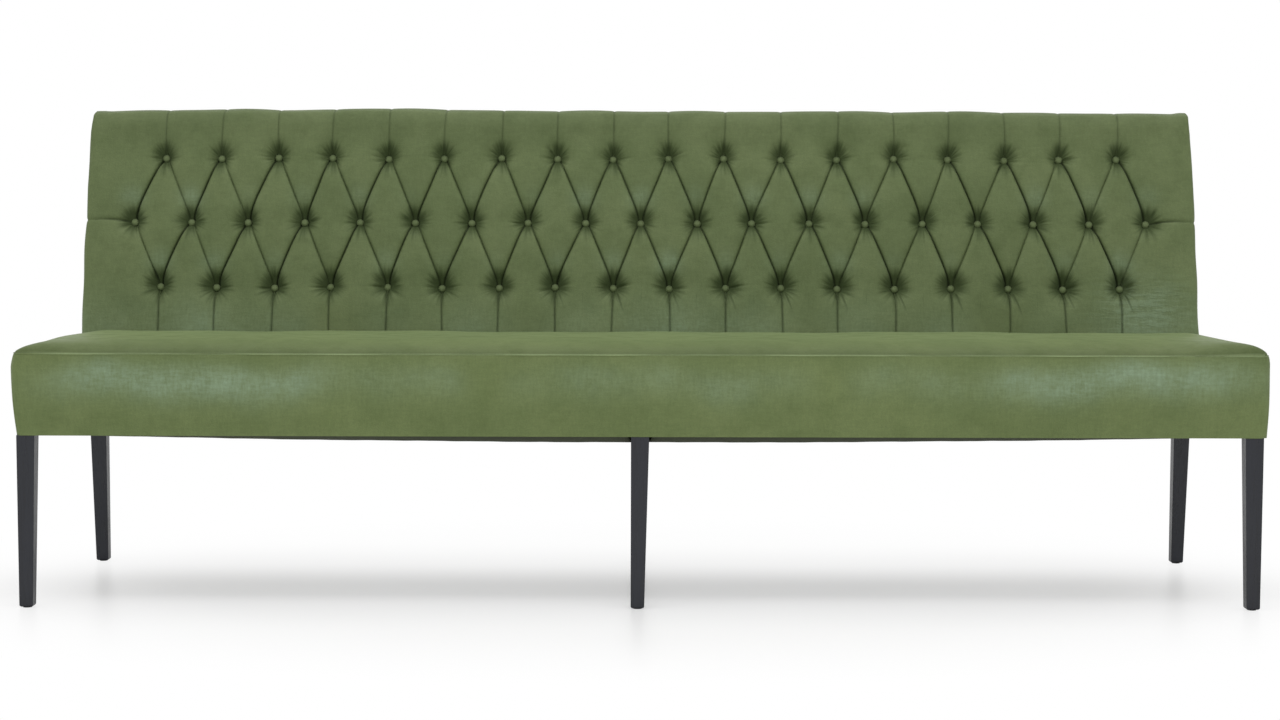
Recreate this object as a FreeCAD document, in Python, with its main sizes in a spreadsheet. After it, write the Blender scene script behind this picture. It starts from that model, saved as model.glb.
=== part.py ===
import FreeCAD, Part

import math
import os

# Upholstered kitchen bench with a deep-buttoned back. X runs along the bench, Y from front to back, Z up.
# The origin is on the floor, under the middle of the bench's outer box. Lengths are in millimetres.
SIZES = {
    # the whole bench
    "overall_length": 2400,
    "overall_height": 985,
    "overall_depth": 656,
    # seat box
    "leg_height": 333,
    "seat_box_height": 156,
    "seat_crown": 24,
    "seat_bulge": 8,
    "seam_draw": 3,
    "seat_corner": 14,
    "rear_ledge": 4,
    "leather": 2,
    "border_padding": 5,
    "soft_gap": 0.3,
    # seat frame
    "rail_height": 90,
    "rail_thickness": 25,
    "cross_rail_height": 60,
    "cross_rail_thickness": 30,
    "cross_rail_place": 790,
    "block_leg": 62,
    "block_tip": 12,
    "block_height": 50,
    "strap_width": 60,
    "strap_thickness": 2,
    "strap_lap": 18,
    "dust_cover_thickness": 1.5,
    "dust_cover_sag": 13,
    "dust_cover_lap": 10,
    # legs
    "leg_width": 35,
    "leg_depth": 28,
    "foot_width": 26,
    "foot_depth": 22,
    "leg_inset": 1.5,
    "leg_rake": 35,
    "foot_chamfer": 2.5,
    "glide_diameter": 17,
    "glide_thickness": 1.5,
    # tenons
    "leg_tenon": 12,
    "leg_tenon_height": 38,
    "rail_tenon_thickness": 12,
    "rail_tenon_height": 38,
    "rail_tenon_length": 16,
    "rail_tenon_drop": 8,
    "joint_clearance": 0.2,
    # back frame
    "back_thickness": 90,
    "back_recline": 11.7,
    "back_end_inset": 1,
    "foam_depth": 46,
    "board_thickness": 6,
    "post_width": 45,
    "post_depth": 32,
    "post_place": 400,
    "post_foot_gap": 12,
    "post_lap": 45,
    "back_rail_height": 60,
    "lining_thickness": 3,
    # deep buttoning
    "row_end_margin": 102.9,
    "top_row_drop": 65,
    "bottom_row_share": 0.253,
    "button_depth": 30,
    "button_seat": 17,
    "button_diameter": 20,
    "button_top_diameter": 14,
    "button_height": 6.5,
    "pleat_depth": 15,
    "fold_width": 5,
    "fold_depth": 7,
    "roll_fold_depth": 4,
    "edge_depth": 10,
    "roll_edge_depth": 3,
    "end_pleat_depth": 15,
}
TOP_ROW_BUTTONS = 18
STRAPS_PER_BAY = 6
BUTTON_SIDES = 8
ROLL_STEPS = 5

# Sizes that follow from the driving ones. The back's front and rear planes are named where they pass
# the seam.
WORKED = {
    "front": "-sizes.overall_depth / 2",
    "half_length": "sizes.overall_length / 2",
    "lean_sin": "sin(sizes.back_recline)",
    "lean_cos": "cos(sizes.back_recline)",
    "roll_radius": "sizes.back_thickness / 2",
    "roll_y": "sizes.overall_depth / 2 - worked.roll_radius",
    "roll_z": "sizes.overall_height - worked.roll_radius",
    "seam_height": "sizes.leg_height + sizes.seat_box_height",
    "face_rise": "worked.roll_z + worked.roll_radius * worked.lean_sin - worked.seam_height",
    "face_y": "worked.roll_y - worked.roll_radius * worked.lean_cos"
              " - worked.face_rise * worked.lean_sin / worked.lean_cos",
    "face_length": "worked.face_rise / worked.lean_cos",
    "button_pitch": f"(sizes.overall_length - 2 * sizes.row_end_margin) / {TOP_ROW_BUTTONS}",
    "row_spacing": "(worked.face_length * (1 - sizes.bottom_row_share) - sizes.top_row_drop) / 2",
    "rear_start": "sizes.back_thickness * worked.lean_sin / worked.lean_cos",
    "box_rear": "worked.face_y + sizes.back_thickness / worked.lean_cos + sizes.rear_ledge",
    "rail_inset": "sizes.seat_bulge + sizes.leather + sizes.border_padding",
    "rail_half": "worked.half_length - worked.rail_inset",
    "rail_front": "worked.front + worked.rail_inset",
    "rail_rear": "worked.box_rear - worked.rail_inset",
    "rail_top": "sizes.leg_height + sizes.rail_height",
    "inner_front": "worked.rail_front + sizes.rail_thickness",
    "inner_rear": "worked.rail_rear - sizes.rail_thickness",
    "inner_half": "worked.rail_half - sizes.rail_thickness",
    "cushion_rear": "worked.face_y - sizes.soft_gap",
    "leg_outer": "worked.half_length - sizes.seat_bulge - sizes.leg_inset",
    "leg_front": "worked.front + sizes.seat_bulge + sizes.leg_inset",
    "leg_rear": "worked.inner_rear - sizes.leg_depth",
    "back_half": "worked.half_length - sizes.back_end_inset",
    "cover_half": "worked.half_length - sizes.back_end_inset - sizes.leather",
    "core_half": "worked.cover_half - sizes.soft_gap",
    "pillow_back": "sizes.button_depth + sizes.leather",
    "frame_front": "sizes.foam_depth + sizes.board_thickness",
    "frame_rear": "worked.frame_front + sizes.post_depth",
    "post_top": "worked.face_length - sizes.back_rail_height",
    "end_post_place": "worked.inner_half - sizes.post_width / 2",
}

doc = FreeCAD.newDocument("kitchen_bench")
nodes = []


def fill_sheet(name, cells, mark):
    """A sheet with one named cell on each row."""
    sheet = doc.addObject("Spreadsheet::Sheet", name)
    for row, (alias, content) in enumerate(cells.items(), start=1):
        sheet.set(f"A{row}", alias)
        sheet.setAlias(f"B{row}", alias)
        sheet.set(f"B{row}", mark + str(content))
    doc.recompute()
    return sheet


sizes = fill_sheet("sizes", SIZES, "")
worked = fill_sheet("worked", WORKED, "=")


def node(item, label):
    """Keeps a finished piece under the name of its file."""
    item.Label = label
    nodes.append(item)
    return item


def bind(item, **formulas):
    """Ties an object's properties to the sheets."""
    for name, formula in formulas.items():
        item.setExpression(name, str(formula))
    return item


def place(item, x, y, z):
    """Ties an object's position to the sheets."""
    for axis, formula in zip("xyz", (x, y, z)):
        item.setExpression(f"Placement.Base.{axis}", str(formula))
    return item


def turn(item, axis, formula):
    """Turns an object about an axis by an angle from the sheets."""
    item.Placement = FreeCAD.Placement(FreeCAD.Vector(), FreeCAD.Rotation(FreeCAD.Vector(*axis), 1))
    item.setExpression("Placement.Rotation.Angle", str(formula))
    return item


def box(name, x, y, z):
    """A block between two formulas on each axis."""
    item = doc.addObject("Part::Box", name)
    bind(item, Length=f"{x[1]} - ({x[0]})", Width=f"{y[1]} - ({y[0]})", Height=f"{z[1]} - ({z[0]})")
    return place(item, x[0], y[0], z[0])


def on_back(item, x, up, deep):
    """Places an object by its distance up the reclined back and its depth behind the back's face."""
    y = f"worked.face_y + ({up}) * worked.lean_sin + ({deep}) * worked.lean_cos"
    z = f"worked.seam_height + ({up}) * worked.lean_cos - ({deep}) * worked.lean_sin"
    return place(item, x, y, z)


def leaning_box(name, x, up, deep):
    """A block that leans with the back."""
    item = doc.addObject("Part::Box", name)
    bind(item, Length=f"{x[1]} - ({x[0]})", Width=f"{deep[1]} - ({deep[0]})", Height=f"{up[1]} - ({up[0]})")
    turn(item, (-1, 0, 0), "sizes.back_recline")
    return on_back(item, x[0], up[0], deep[0])


def rod(name, diameter, length, x, y, z):
    """An upright cylinder, placed by the middle of its lower end."""
    item = doc.addObject("Part::Cylinder", name)
    bind(item, Radius=f"({diameter}) / 2", Height=length)
    return place(item, x, y, z)


def group(name, items):
    """Separate solids that share one file."""
    item = doc.addObject("Part::Compound", name)
    item.Links = items
    return item


def cut(name, base, tools):
    """A piece less the mortises that its neighbours' tenons enter."""
    item = doc.addObject("Part::Cut", name)
    item.Base = base
    item.Tool = group(name + "_mortises", tools)
    return item


def joined(name, base, tools):
    """A piece with its tenons, all one solid."""
    item = doc.addObject("Part::MultiFuse", name)
    item.Shapes = [base] + tools
    item.Refine = True
    return item


def grown(span, room):
    """A span with the same room at both ends."""
    return f"{span[0]} - {room}", f"{span[1]} + {room}"


# Legs

ENDS = {"left": -1, "centre": 0, "right": 1}


def leg_side(side, width):
    """Low and high X of a leg. The outer side of an end leg is upright, and its inner side tapers."""
    if side == "left":
        return "-worked.leg_outer", f"-worked.leg_outer + {width}"
    if side == "right":
        return f"worked.leg_outer - {width}", "worked.leg_outer"
    return "-sizes.leg_width / 2", f"-sizes.leg_width / 2 + {width}"


def tenon_place(side, row):
    """The spans of a leg's tenon: in the middle of the leg's top, under the rail that it enters."""
    low, high = leg_side(side, "sizes.leg_width")
    x = f"({low} + {high}) / 2"
    y = "worked.rail_front + sizes.rail_thickness / 2"
    if row == "rear":
        y = "worked.leg_rear + sizes.leg_depth / 2"
    return [(f"{middle} - sizes.leg_tenon / 2", f"{middle} + sizes.leg_tenon / 2") for middle in (x, y)]


def leg_tenon(side, row, name):
    x, y = tenon_place(side, row)
    return box(name, x, y, ("sizes.leg_height", "sizes.leg_height + sizes.leg_tenon_height"))


def leg_mortise(side, row, name):
    """The slot that a leg's tenon enters from below."""
    x, y = (grown(span, "sizes.joint_clearance") for span in tenon_place(side, row))
    top = "sizes.leg_height + sizes.leg_tenon_height + sizes.joint_clearance"
    return box(name, x, y, ("sizes.leg_height", top))


def make_leg(side, row):
    """A tapered square leg. A rear leg also rakes back."""
    name = f"leg_{row}_{side}"
    start = "worked.leg_front" if row == "front" else "worked.leg_rear"
    rake = "0" if row == "front" else "sizes.leg_rake"
    top_x = leg_side(side, "sizes.leg_width")
    foot_x = leg_side(side, "sizes.foot_width")
    blank = doc.addObject("Part::Wedge", name + "_blank")
    bind(blank, Xmin=foot_x[0], Xmax=foot_x[1], X2min=top_x[0], X2max=top_x[1])
    bind(blank, Zmin=f"-({start} + {rake} + sizes.foot_depth)", Zmax=f"-({start} + {rake})")
    bind(blank, Z2min=f"-({start} + sizes.leg_depth)", Z2max=f"-({start})")
    bind(blank, Ymin="sizes.glide_thickness", Ymax="sizes.leg_height")
    turn(blank, (1, 0, 0), 90)
    doc.recompute()
    eased = doc.addObject("Part::Chamfer", name + "_eased")
    eased.Base = blank
    reach = sizes.get("foot_chamfer")
    level = sizes.get("glide_thickness")
    edges = []
    for number, edge in enumerate(blank.Shape.Edges, start=1):
        if abs(edge.BoundBox.ZMax - level) < sizes.get("soft_gap"):
            edges.append((number, reach, reach))
    eased.Edges = edges
    node(joined(name, eased, [leg_tenon(side, row, name + "_tenon")]), name)


for row in ("front", "rear"):
    for side in ENDS:
        make_leg(side, row)

glides = []
for row in ("front", "rear"):
    for side in ENDS:
        low, high = leg_side(side, "sizes.foot_width")
        start = "worked.leg_front" if row == "front" else "worked.leg_rear + sizes.leg_rake"
        middle = f"{start} + sizes.foot_depth / 2"
        glides.append(rod(f"glide_{row}_{side}", "sizes.glide_diameter", "sizes.glide_thickness",
                          f"({low} + {high}) / 2", middle, "0"))
node(group("glides_of_feet", glides), "foot_glides")

# Seat frame

RAIL_Z = ("sizes.leg_height", "worked.rail_top")
POSTS = {
    "left": "-worked.end_post_place",
    "inner_left": "-sizes.post_place",
    "inner_right": "sizes.post_place",
    "right": "worked.end_post_place",
}


SIDE_RAILS = {
    "left": ("-worked.rail_half", "-worked.inner_half"),
    "right": ("worked.inner_half", "worked.rail_half"),
}
BETWEEN = ("worked.inner_front", "worked.inner_rear")
TENON_TOP = "worked.rail_top - sizes.rail_tenon_drop"
TENON_Z = (f"{TENON_TOP} - sizes.rail_tenon_height", TENON_TOP)


def rail_tenon(side, row):
    """The spans of a side rail's tenon in the front or the rear rail."""
    low, high = SIDE_RAILS[side]
    middle = f"({low} + {high}) / 2"
    x = (f"{middle} - sizes.rail_tenon_thickness / 2", f"{middle} + sizes.rail_tenon_thickness / 2")
    if row == "front":
        return x, ("worked.inner_front - sizes.rail_tenon_length", "worked.inner_front"), TENON_Z
    return x, ("worked.inner_rear", "worked.inner_rear + sizes.rail_tenon_length"), TENON_Z


def rail_mortise(side, row):
    """The slot that a side rail's tenon enters."""
    spans = [grown(span, "sizes.joint_clearance") for span in rail_tenon(side, row)]
    return box(f"{row}_rail_mortise_{side}", *spans)


long_rail = ("-worked.rail_half", "worked.rail_half")
for row, span in (("front", ("worked.rail_front", "worked.inner_front")),
                  ("rear", ("worked.inner_rear", "worked.rail_rear"))):
    blank = box(f"{row}_rail_blank", long_rail, span, RAIL_Z)
    slots = [rail_mortise(side, row) for side in SIDE_RAILS]
    if row == "front":
        slots += [leg_mortise(side, row, f"front_leg_mortise_{side}") for side in ENDS]
    node(cut(f"{row}_rail", blank, slots), f"seat_{row}_rail")

for side, span in SIDE_RAILS.items():
    blank = box(f"side_rail_blank_{side}", span, BETWEEN, RAIL_Z)
    tenons = [box(f"{row}_tenon_{side}", *rail_tenon(side, row)) for row in ("front", "rear")]
    whole = joined(f"side_rail_{side}", blank, tenons)
    slot = leg_mortise(side, "rear", f"rear_leg_mortise_{side}")
    node(cut(f"side_rail_cut_{side}", whole, [slot]), f"seat_side_rail_{side}")

cross_z = ("sizes.leg_height", "sizes.leg_height + sizes.cross_rail_height")
for side, sign in ENDS.items():
    middle = f"{sign} * sizes.cross_rail_place"
    span = (f"{middle} - sizes.cross_rail_thickness / 2", f"{middle} + sizes.cross_rail_thickness / 2")
    rail = box(f"cross_rail_blank_{side}", span, BETWEEN, cross_z)
    if side == "centre":
        rail = cut("cross_rail_centre", rail, [leg_mortise(side, "rear", "rear_leg_mortise_centre")])
    node(rail, f"seat_cross_rail_{side}")

blocks = []
for side in ("left", "right"):
    block = doc.addObject("Part::Wedge", f"block_{side}")
    wide = ("-worked.inner_half", "-worked.inner_half + {}") if side == "left" else (
        "worked.inner_half - {}", "worked.inner_half")
    base, tip = ([end.format(reach) for end in wide] for reach in ("sizes.block_leg", "sizes.block_tip"))
    bind(block, Xmin=base[0], Xmax=base[1], X2min=tip[0], X2max=tip[1])
    bind(block, Ymin="worked.inner_front", Ymax="worked.inner_front + sizes.block_leg")
    for low, high in (("Zmin", "Zmax"), ("Z2min", "Z2max")):
        bind(block, **{low: "sizes.leg_height", high: "sizes.leg_height + sizes.block_height"})
    blocks.append(block)
node(group("blocks", blocks), "corner_blocks")

# Straps lie on the front and rear rails, in the bays that the posts leave.
straps = []
post_places = list(POSTS.values())
for bay, (left, right) in enumerate(zip(post_places, post_places[1:])):
    for count in range(STRAPS_PER_BAY):
        middle = f"{left} + ({right} - ({left})) * {2 * count + 1} / {2 * STRAPS_PER_BAY}"
        span = (f"{middle} - sizes.strap_width / 2", f"{middle} + sizes.strap_width / 2")
        ends = ("worked.inner_front - sizes.strap_lap", "worked.inner_rear + sizes.strap_lap")
        top = ("worked.rail_top", "worked.rail_top + sizes.strap_thickness")
        straps.append(box(f"strap_{bay}_{count}", span, ends, top))
node(group("straps", straps), "seat_webbing")

# Back frame

post_deep = ("worked.frame_front", "worked.frame_rear")
for side, middle in POSTS.items():
    span = (f"{middle} - sizes.post_width / 2", f"{middle} + sizes.post_width / 2")
    upper = leaning_box(f"post_upper_{side}", span, ("-sizes.post_lap", "worked.post_top"), post_deep)
    lower = box(f"post_lower_{side}", span, ("worked.inner_rear - sizes.post_depth", "worked.inner_rear"),
                ("sizes.leg_height + sizes.post_foot_gap", "worked.seam_height"))
    node(joined(f"post_{side}", upper, [lower]), f"back_post_{side}")

back_span = ("-worked.core_half", "worked.core_half")
top_up = ("worked.post_top", "worked.face_length")
node(leaning_box("top_rail", back_span, top_up, post_deep), "back_top_rail")
lower_up = ("worked.rear_start", "worked.rear_start + sizes.back_rail_height")
lower_rails = []
for bay, (left, right) in enumerate(zip(post_places, post_places[1:])):
    span = (f"{left} + sizes.post_width / 2", f"{right} - sizes.post_width / 2")
    lower_rails.append(leaning_box(f"lower_rail_{bay}", span, lower_up, post_deep))
node(group("lower_rails", lower_rails), "back_lower_rails")
face_up = ("0", "worked.face_length")
foam_deep = ("worked.pillow_back", "sizes.foam_depth")
board_deep = ("sizes.foam_depth", "worked.frame_front")
node(leaning_box("foam_slab", back_span, face_up, foam_deep), "back_foam")
node(leaning_box("board", back_span, face_up, board_deep), "tufting_board")
lining_deep = ("worked.frame_rear", "worked.frame_rear + sizes.lining_thickness")
node(leaning_box("lining", back_span, ("worked.rear_start", "worked.face_length"), lining_deep),
     "rear_lining_board")
rear_deep = ("sizes.back_thickness - sizes.leather", "sizes.back_thickness")
node(leaning_box("rear_leather", ("-worked.cover_half", "worked.cover_half"),
                 ("worked.rear_start", "worked.face_length"), rear_deep), "back_rear_panel")

# Soft forms. Lofts carry them through lines and arcs, so their sizes are read from the sheets here.

doc.recompute()


def value(name):
    """A size from either sheet."""
    sheet = sizes if name in SIZES else worked
    return float(sheet.get(name))


def soft(label, shape):
    """A piece whose shape comes from lofts."""
    item = doc.addObject("Part::Feature", label + "_form")
    item.Shape = shape
    return node(item, label)


LEAN = math.radians(value("back_recline"))


def on_face(x, up, deep):
    """A point by its distance up the back's face and its depth behind it."""
    y = value("face_y") + up * math.sin(LEAN) + deep * math.cos(LEAN)
    z = value("seam_height") + up * math.cos(LEAN) - deep * math.sin(LEAN)
    return FreeCAD.Vector(x, y, z)


def on_roll(x, angle, deep):
    """A point on the rolled top, by its turn from the face over the top and its depth under the roll."""
    reach = value("roll_radius") - deep
    aim = math.pi - LEAN - angle
    return FreeCAD.Vector(x, value("roll_y") + reach * math.cos(aim), value("roll_z") + reach * math.sin(aim))


def line(start, end):
    return Part.LineSegment(start, end).toShape()


def arc(start, middle, end):
    return Part.Arc(start, middle, end).toShape()


# Where a pillow's facets meet across its width, and how square its section is: 2 is a plain curve.
PILLOW_SHARES = (0.18, 0.5, 0.82, 1)
PILLOW_FULLNESS = 2.4


class Section:
    """One cut across the buttoned face.

    at gives a point from a place along the bench and a depth. Strips of two kinds take turns along the bench:
    those that close on the top and bottom rows are wide here, and those that close on the middle row fill the
    rest of the pitch. valley is the depth of the lines between them, crown and other the depths of the two
    kinds' middles, edge and shoulder those of the end strips. A strip without a middle is flat.
    """

    def __init__(self, at, wide, valley, crown, other, edge, shoulder):
        self.at = at
        self.wide = wide
        self.valley = valley
        self.crown = crown
        self.other = other
        self.edge = edge
        self.shoulder = shoulder

    def strips(self, half):
        """Points from left to right across the back."""
        places = [-half]
        for count in range(TOP_ROW_BUTTONS):
            middle = (count - (TOP_ROW_BUTTONS - 1) / 2) * value("button_pitch")
            places += [middle - self.wide / 2, middle + self.wide / 2]
        places.append(half)
        depths = [self.edge] + [self.valley] * (len(places) - 2) + [self.edge]
        last = len(places) - 2
        points = [self.at(-half, self.edge)]
        for count in range(last + 1):
            crown = self.shoulder if count in (0, last) else (self.crown if count % 2 else self.other)
            for share in PILLOW_SHARES:
                x = places[count] + share * (places[count + 1] - places[count])
                deep = depths[count] + share * (depths[count + 1] - depths[count])
                if crown is not None:
                    deep = crown + (deep - crown) * abs(2 * share - 1) ** PILLOW_FULLNESS
                points.append(self.at(x, deep))
        return points

    def slab(self, half, depth):
        """Closed outline of the filled cover at this cut, with a flat back."""
        front = self.strips(half)
        return Part.makePolygon(front + [self.at(half, depth), self.at(-half, depth)] + front[:1])


def face_cut(up, *depths):
    return Section(lambda x, deep: on_face(x, up, deep), *depths)


TOP_ROW = value("face_length") - value("top_row_drop")
ROW_UPS = [TOP_ROW - count * value("row_spacing") for count in (2, 1, 0)]


# Cuts between two rows of buttons, as shares of their distance, and how fast a pleat leaves its button.
ROW_GAP_SHARES = (0.22, 0.5, 0.78)
PLEAT_RISE = 3


def row_gap_cut(up, share):
    """A cut at a share of the way from an outer row of buttons to the middle row."""
    seat = value("button_seat")
    deep = value("button_depth")
    wide = seat + (value("button_pitch") - 2 * seat) * share
    valley = value("pleat_depth") + (deep - value("pleat_depth")) * abs(2 * share - 1) ** PLEAT_RISE
    crown = deep * (1 - share) ** PLEAT_RISE
    other = deep * share ** PLEAT_RISE
    edge = value("edge_depth") + (value("end_pleat_depth") - value("edge_depth")) * share ** PLEAT_RISE
    shoulder = None if share == 1 else (edge + valley) / 2 * share ** PLEAT_RISE
    return face_cut(up, wide, valley, crown, other, edge, shoulder)


def face_cuts():
    """Cuts up the face: the seat, the three rows of buttons with their diamonds between, the roll."""
    fold = (value("fold_width"), value("fold_depth"), None, 0, value("edge_depth"), 0)
    low, middle, high = ROW_UPS
    cuts = [face_cut(0, *fold)]
    for share in (0, *ROW_GAP_SHARES, 1):
        cuts.append(row_gap_cut(low + share * (middle - low), share))
    for share in ROW_GAP_SHARES[::-1] + (0,):
        cuts.append(row_gap_cut(high + share * (middle - high), share))
    cuts.append(face_cut(value("face_length"), *fold))
    return cuts


under = value("leather") + value("soft_gap")
front_cuts = face_cuts()
cover_wires = [section.slab(value("cover_half"), value("pillow_back")) for section in front_cuts]
soft("back_buttoned_cover", Part.makeLoft(cover_wires, True, True))

# The folds over the rolled top fade towards the rear.
ROLL_FADE_SHARE = 0.65


def roll_depths(turned):
    """Depths of the folds and of the outer edge on the roll, at a share of its turn."""
    if turned == 0:
        return value("fold_depth"), value("edge_depth")
    return value("roll_fold_depth") * (1 - ROLL_FADE_SHARE * turned), value("roll_edge_depth") * (1 - turned)


def roll_outline(turned):
    """Closed outline of the leather over the roll: a fold above each button, a crown between two folds."""
    fold, edge = roll_depths(turned)
    half = value("cover_half")
    pitch = value("button_pitch")
    first = -(TOP_ROW_BUTTONS - 1) / 2 * pitch
    stops = [(-half, edge)]
    for count in range(TOP_ROW_BUTTONS):
        middle = first + count * pitch
        stops += [(middle - pitch / 2, 0), (middle, fold)]
    stops += [(-first + pitch / 2, 0), (half, edge)]
    angle = math.pi * turned
    outer = [on_roll(x, angle, deep) for x, deep in stops]
    inner = [on_roll(x, angle, deep + value("leather")) for x, deep in stops]
    return Part.makePolygon(outer + inner[::-1] + outer[:1])


ROLL_TURNS = [count / ROLL_STEPS for count in range(ROLL_STEPS + 1)]
soft("back_roll_cover", Part.makeLoft([roll_outline(turned) for turned in ROLL_TURNS], True, True))

# A half-round pad fills the roll, with its flat side on the top rail.
flat_of_roll = value("roll_radius") * (1 - math.cos(math.pi / ROLL_STEPS / 2))
pad_depth = under + value("fold_depth") + flat_of_roll
pad_points = [on_roll(-value("core_half"), angle, pad_depth) for angle in (0, math.pi / 2, math.pi)]
pad_face = Part.Face(Part.Wire([arc(*pad_points), line(pad_points[2], pad_points[0])]))
soft("back_top_pad", pad_face.extrude(FreeCAD.Vector(2 * value("core_half"), 0, 0)))


def side_panel(low_x):
    """The flat leather side of the back, which stands on the seat's border."""
    foot = on_face(low_x, value("edge_depth") * math.tan(LEAN), value("edge_depth"))
    heel = on_face(low_x, value("rear_start"), value("back_thickness"))
    rim = [section.at(low_x, section.edge) for section in front_cuts[1:]]
    rim += [on_roll(low_x, math.pi * turned, roll_depths(turned)[1]) for turned in ROLL_TURNS[1:]]
    outline = Part.makePolygon([foot] + rim + [heel, foot])
    return Part.Face(outline).extrude(FreeCAD.Vector(value("leather"), 0, 0))


soft("back_side_panel_left", side_panel(-value("back_half")))
soft("back_side_panel_right", side_panel(value("cover_half")))


def make_buttons():
    """Bevelled buttons with few sides. Each one's rim rests on the slopes of its dimple."""
    buttons = []
    turned = FreeCAD.Rotation(FreeCAD.Vector(1, 0, 0), 90 - value("back_recline"))
    ring = [2 * math.pi * count / BUTTON_SIDES for count in range(BUTTON_SIDES + 1)]
    outlines = []
    for diameter, z in (("button_diameter", 0), ("button_top_diameter", value("button_height"))):
        radius = value(diameter) / 2
        points = [FreeCAD.Vector(radius * math.cos(aim), radius * math.sin(aim), z) for aim in ring]
        outlines.append(Part.makePolygon(points))
    button = Part.makeLoft(outlines, True, True)
    steep_share = ROW_GAP_SHARES[0]
    rise = value("button_depth") * (1 - (1 - steep_share) ** PLEAT_RISE)
    slope = rise / (steep_share * value("row_spacing"))
    base = value("button_depth") - value("soft_gap") - slope * value("button_diameter") / 2
    for up, count in zip(ROW_UPS, (TOP_ROW_BUTTONS, TOP_ROW_BUTTONS + 1, TOP_ROW_BUTTONS)):
        for number in range(count):
            x = (number - (count - 1) / 2) * value("button_pitch")
            copy = button.copy()
            copy.Placement = FreeCAD.Placement(on_face(x, up, base), turned)
            buttons.append(copy)
    soft("tuft_buttons", Part.makeCompound(buttons))


make_buttons()

# Seat upholstery


def rounded(half, low, high, z, corner):
    """A level rectangle with round corners."""
    nip = corner * (1 - math.sqrt(0.5))
    edges = []

    def point(x, y):
        return FreeCAD.Vector(x, y, z)

    edges.append(line(point(-half + corner, low), point(half - corner, low)))
    edges.append(arc(point(half - corner, low), point(half - nip, low + nip), point(half, low + corner)))
    edges.append(line(point(half, low + corner), point(half, high - corner)))
    edges.append(arc(point(half, high - corner), point(half - nip, high - nip), point(half - corner, high)))
    edges.append(line(point(half - corner, high), point(-half + corner, high)))
    left_end = point(-half, high - corner)
    edges.append(arc(point(-half + corner, high), point(-half + nip, high - nip), left_end))
    edges.append(line(left_end, point(-half, low + corner)))
    edges.append(arc(point(-half, low + corner), point(-half + nip, low + nip), point(-half + corner, low)))
    return Part.Wire(edges)


# The border swells between its foot and the seam.
BORDER_RISE_SHARES = (0, 0.4, 0.72, 1)
BORDER_DRAW_SHARES = (1, 0.25, 0)


def border(sink):
    """Loft of the seat's border, sunk by a thickness all round."""
    draws = [share * value("seat_bulge") for share in BORDER_DRAW_SHARES] + [value("seam_draw")]
    wires = []
    for rise, draw in zip(BORDER_RISE_SHARES, draws):
        inset = draw + sink
        z = value("leg_height") + rise * (value("seam_height") - value("leg_height"))
        wires.append(rounded(value("half_length") - inset, value("front") + inset,
                             value("box_rear") - inset, z, value("seat_corner") - sink))
    return Part.makeLoft(wires, True, True)


soft("seat_border_panel", border(0).cut(border(value("leather"))))


def block(low, high):
    """A box between two corners."""
    return Part.makeBox(*(high - low), low)


def border_padding():
    """The pad round the rails, left out above the rear rail where the posts pass."""
    low = FreeCAD.Vector(-value("rail_half"), value("rail_front"), value("leg_height"))
    high = FreeCAD.Vector(value("rail_half"), value("rail_rear"), value("seam_height"))
    gate_low = FreeCAD.Vector(-value("rail_half"), value("cushion_rear"), value("rail_top"))
    gate_high = FreeCAD.Vector(value("rail_half"), value("box_rear"), value("seam_height"))
    return border(under).cut([block(low, high), block(gate_low, gate_high)])


soft("seat_border_padding", border_padding())

# The crown rises fast from the seam and levels out towards the middle.
CROWN_DRAW_SHARES = (0, 0.06, 0.25, 0.65)
CROWN_RISE_SHARES = (0, 0.4, 0.8, 1)
CROWN_CORNER_SHARE = 0.3


def crown(sink):
    """Loft of the seat's crowned top, sunk by a thickness."""
    half = value("half_length") - value("seam_draw") - sink
    low = value("front") + value("seam_draw") + sink
    high = value("cushion_rear") - sink
    wires = []
    for draw, rise in zip(CROWN_DRAW_SHARES, CROWN_RISE_SHARES):
        step = draw * (high - low) / 2
        z = value("seam_height") + rise * (value("seat_crown") - sink)
        corner = value("seat_corner") - sink + CROWN_CORNER_SHARE * step
        wires.append(rounded(half - step, low + step, high - step, z, corner))
    return Part.makeLoft(wires, True, True)


soft("seat_top_panel", crown(0).cut(crown(value("leather"))))
soft("seat_topper", crown(under))

core_z = ("worked.rail_top + sizes.strap_thickness + sizes.soft_gap", "worked.seam_height")
core_x = ("-worked.rail_half + sizes.soft_gap", "worked.rail_half - sizes.soft_gap")
core_y = ("worked.rail_front + sizes.soft_gap", "worked.cushion_rear - sizes.leather - sizes.soft_gap")
node(box("foam_core", core_x, core_y, core_z), "seat_foam_core")


def dust_cover():
    """The cloth under the seat, fixed below the side rails and sagging between them."""
    reach = value("inner_half") + value("dust_cover_lap")
    start = value("leg_front") + value("leg_depth") + value("soft_gap")
    depth = value("leg_rear") - value("soft_gap") - start
    top = value("leg_height")
    bottom = top - value("dust_cover_thickness")
    sag = value("dust_cover_sag")

    def point(x, z):
        return FreeCAD.Vector(x, start, z)

    upper = arc(point(-reach, top), point(0, top - sag), point(reach, top))
    lower = arc(point(reach, bottom), point(0, bottom - sag), point(-reach, bottom))
    right = line(point(reach, top), point(reach, bottom))
    left = line(point(-reach, bottom), point(-reach, top))
    return Part.Face(Part.Wire([upper, right, lower, left])).extrude(FreeCAD.Vector(0, depth, 0))


soft("dust_cover", dust_cover())

# Every object is sound before any file is written.
doc.recompute()
for item in doc.Objects:
    if "Invalid" in item.State or "Error" in item.State:
        raise RuntimeError(f"{item.Label} failed: {item.State}")
for item in nodes:
    if item.Shape.isNull() or not item.Shape.isValid():
        raise RuntimeError(f"{item.Label} has no sound shape")

os.makedirs("parts", exist_ok=True)
for item in nodes:
    item.Shape.exportStep(f"parts/{item.Label}.step")
    print(item.Label, len(item.Shape.Solids), round(item.Shape.Volume))
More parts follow.
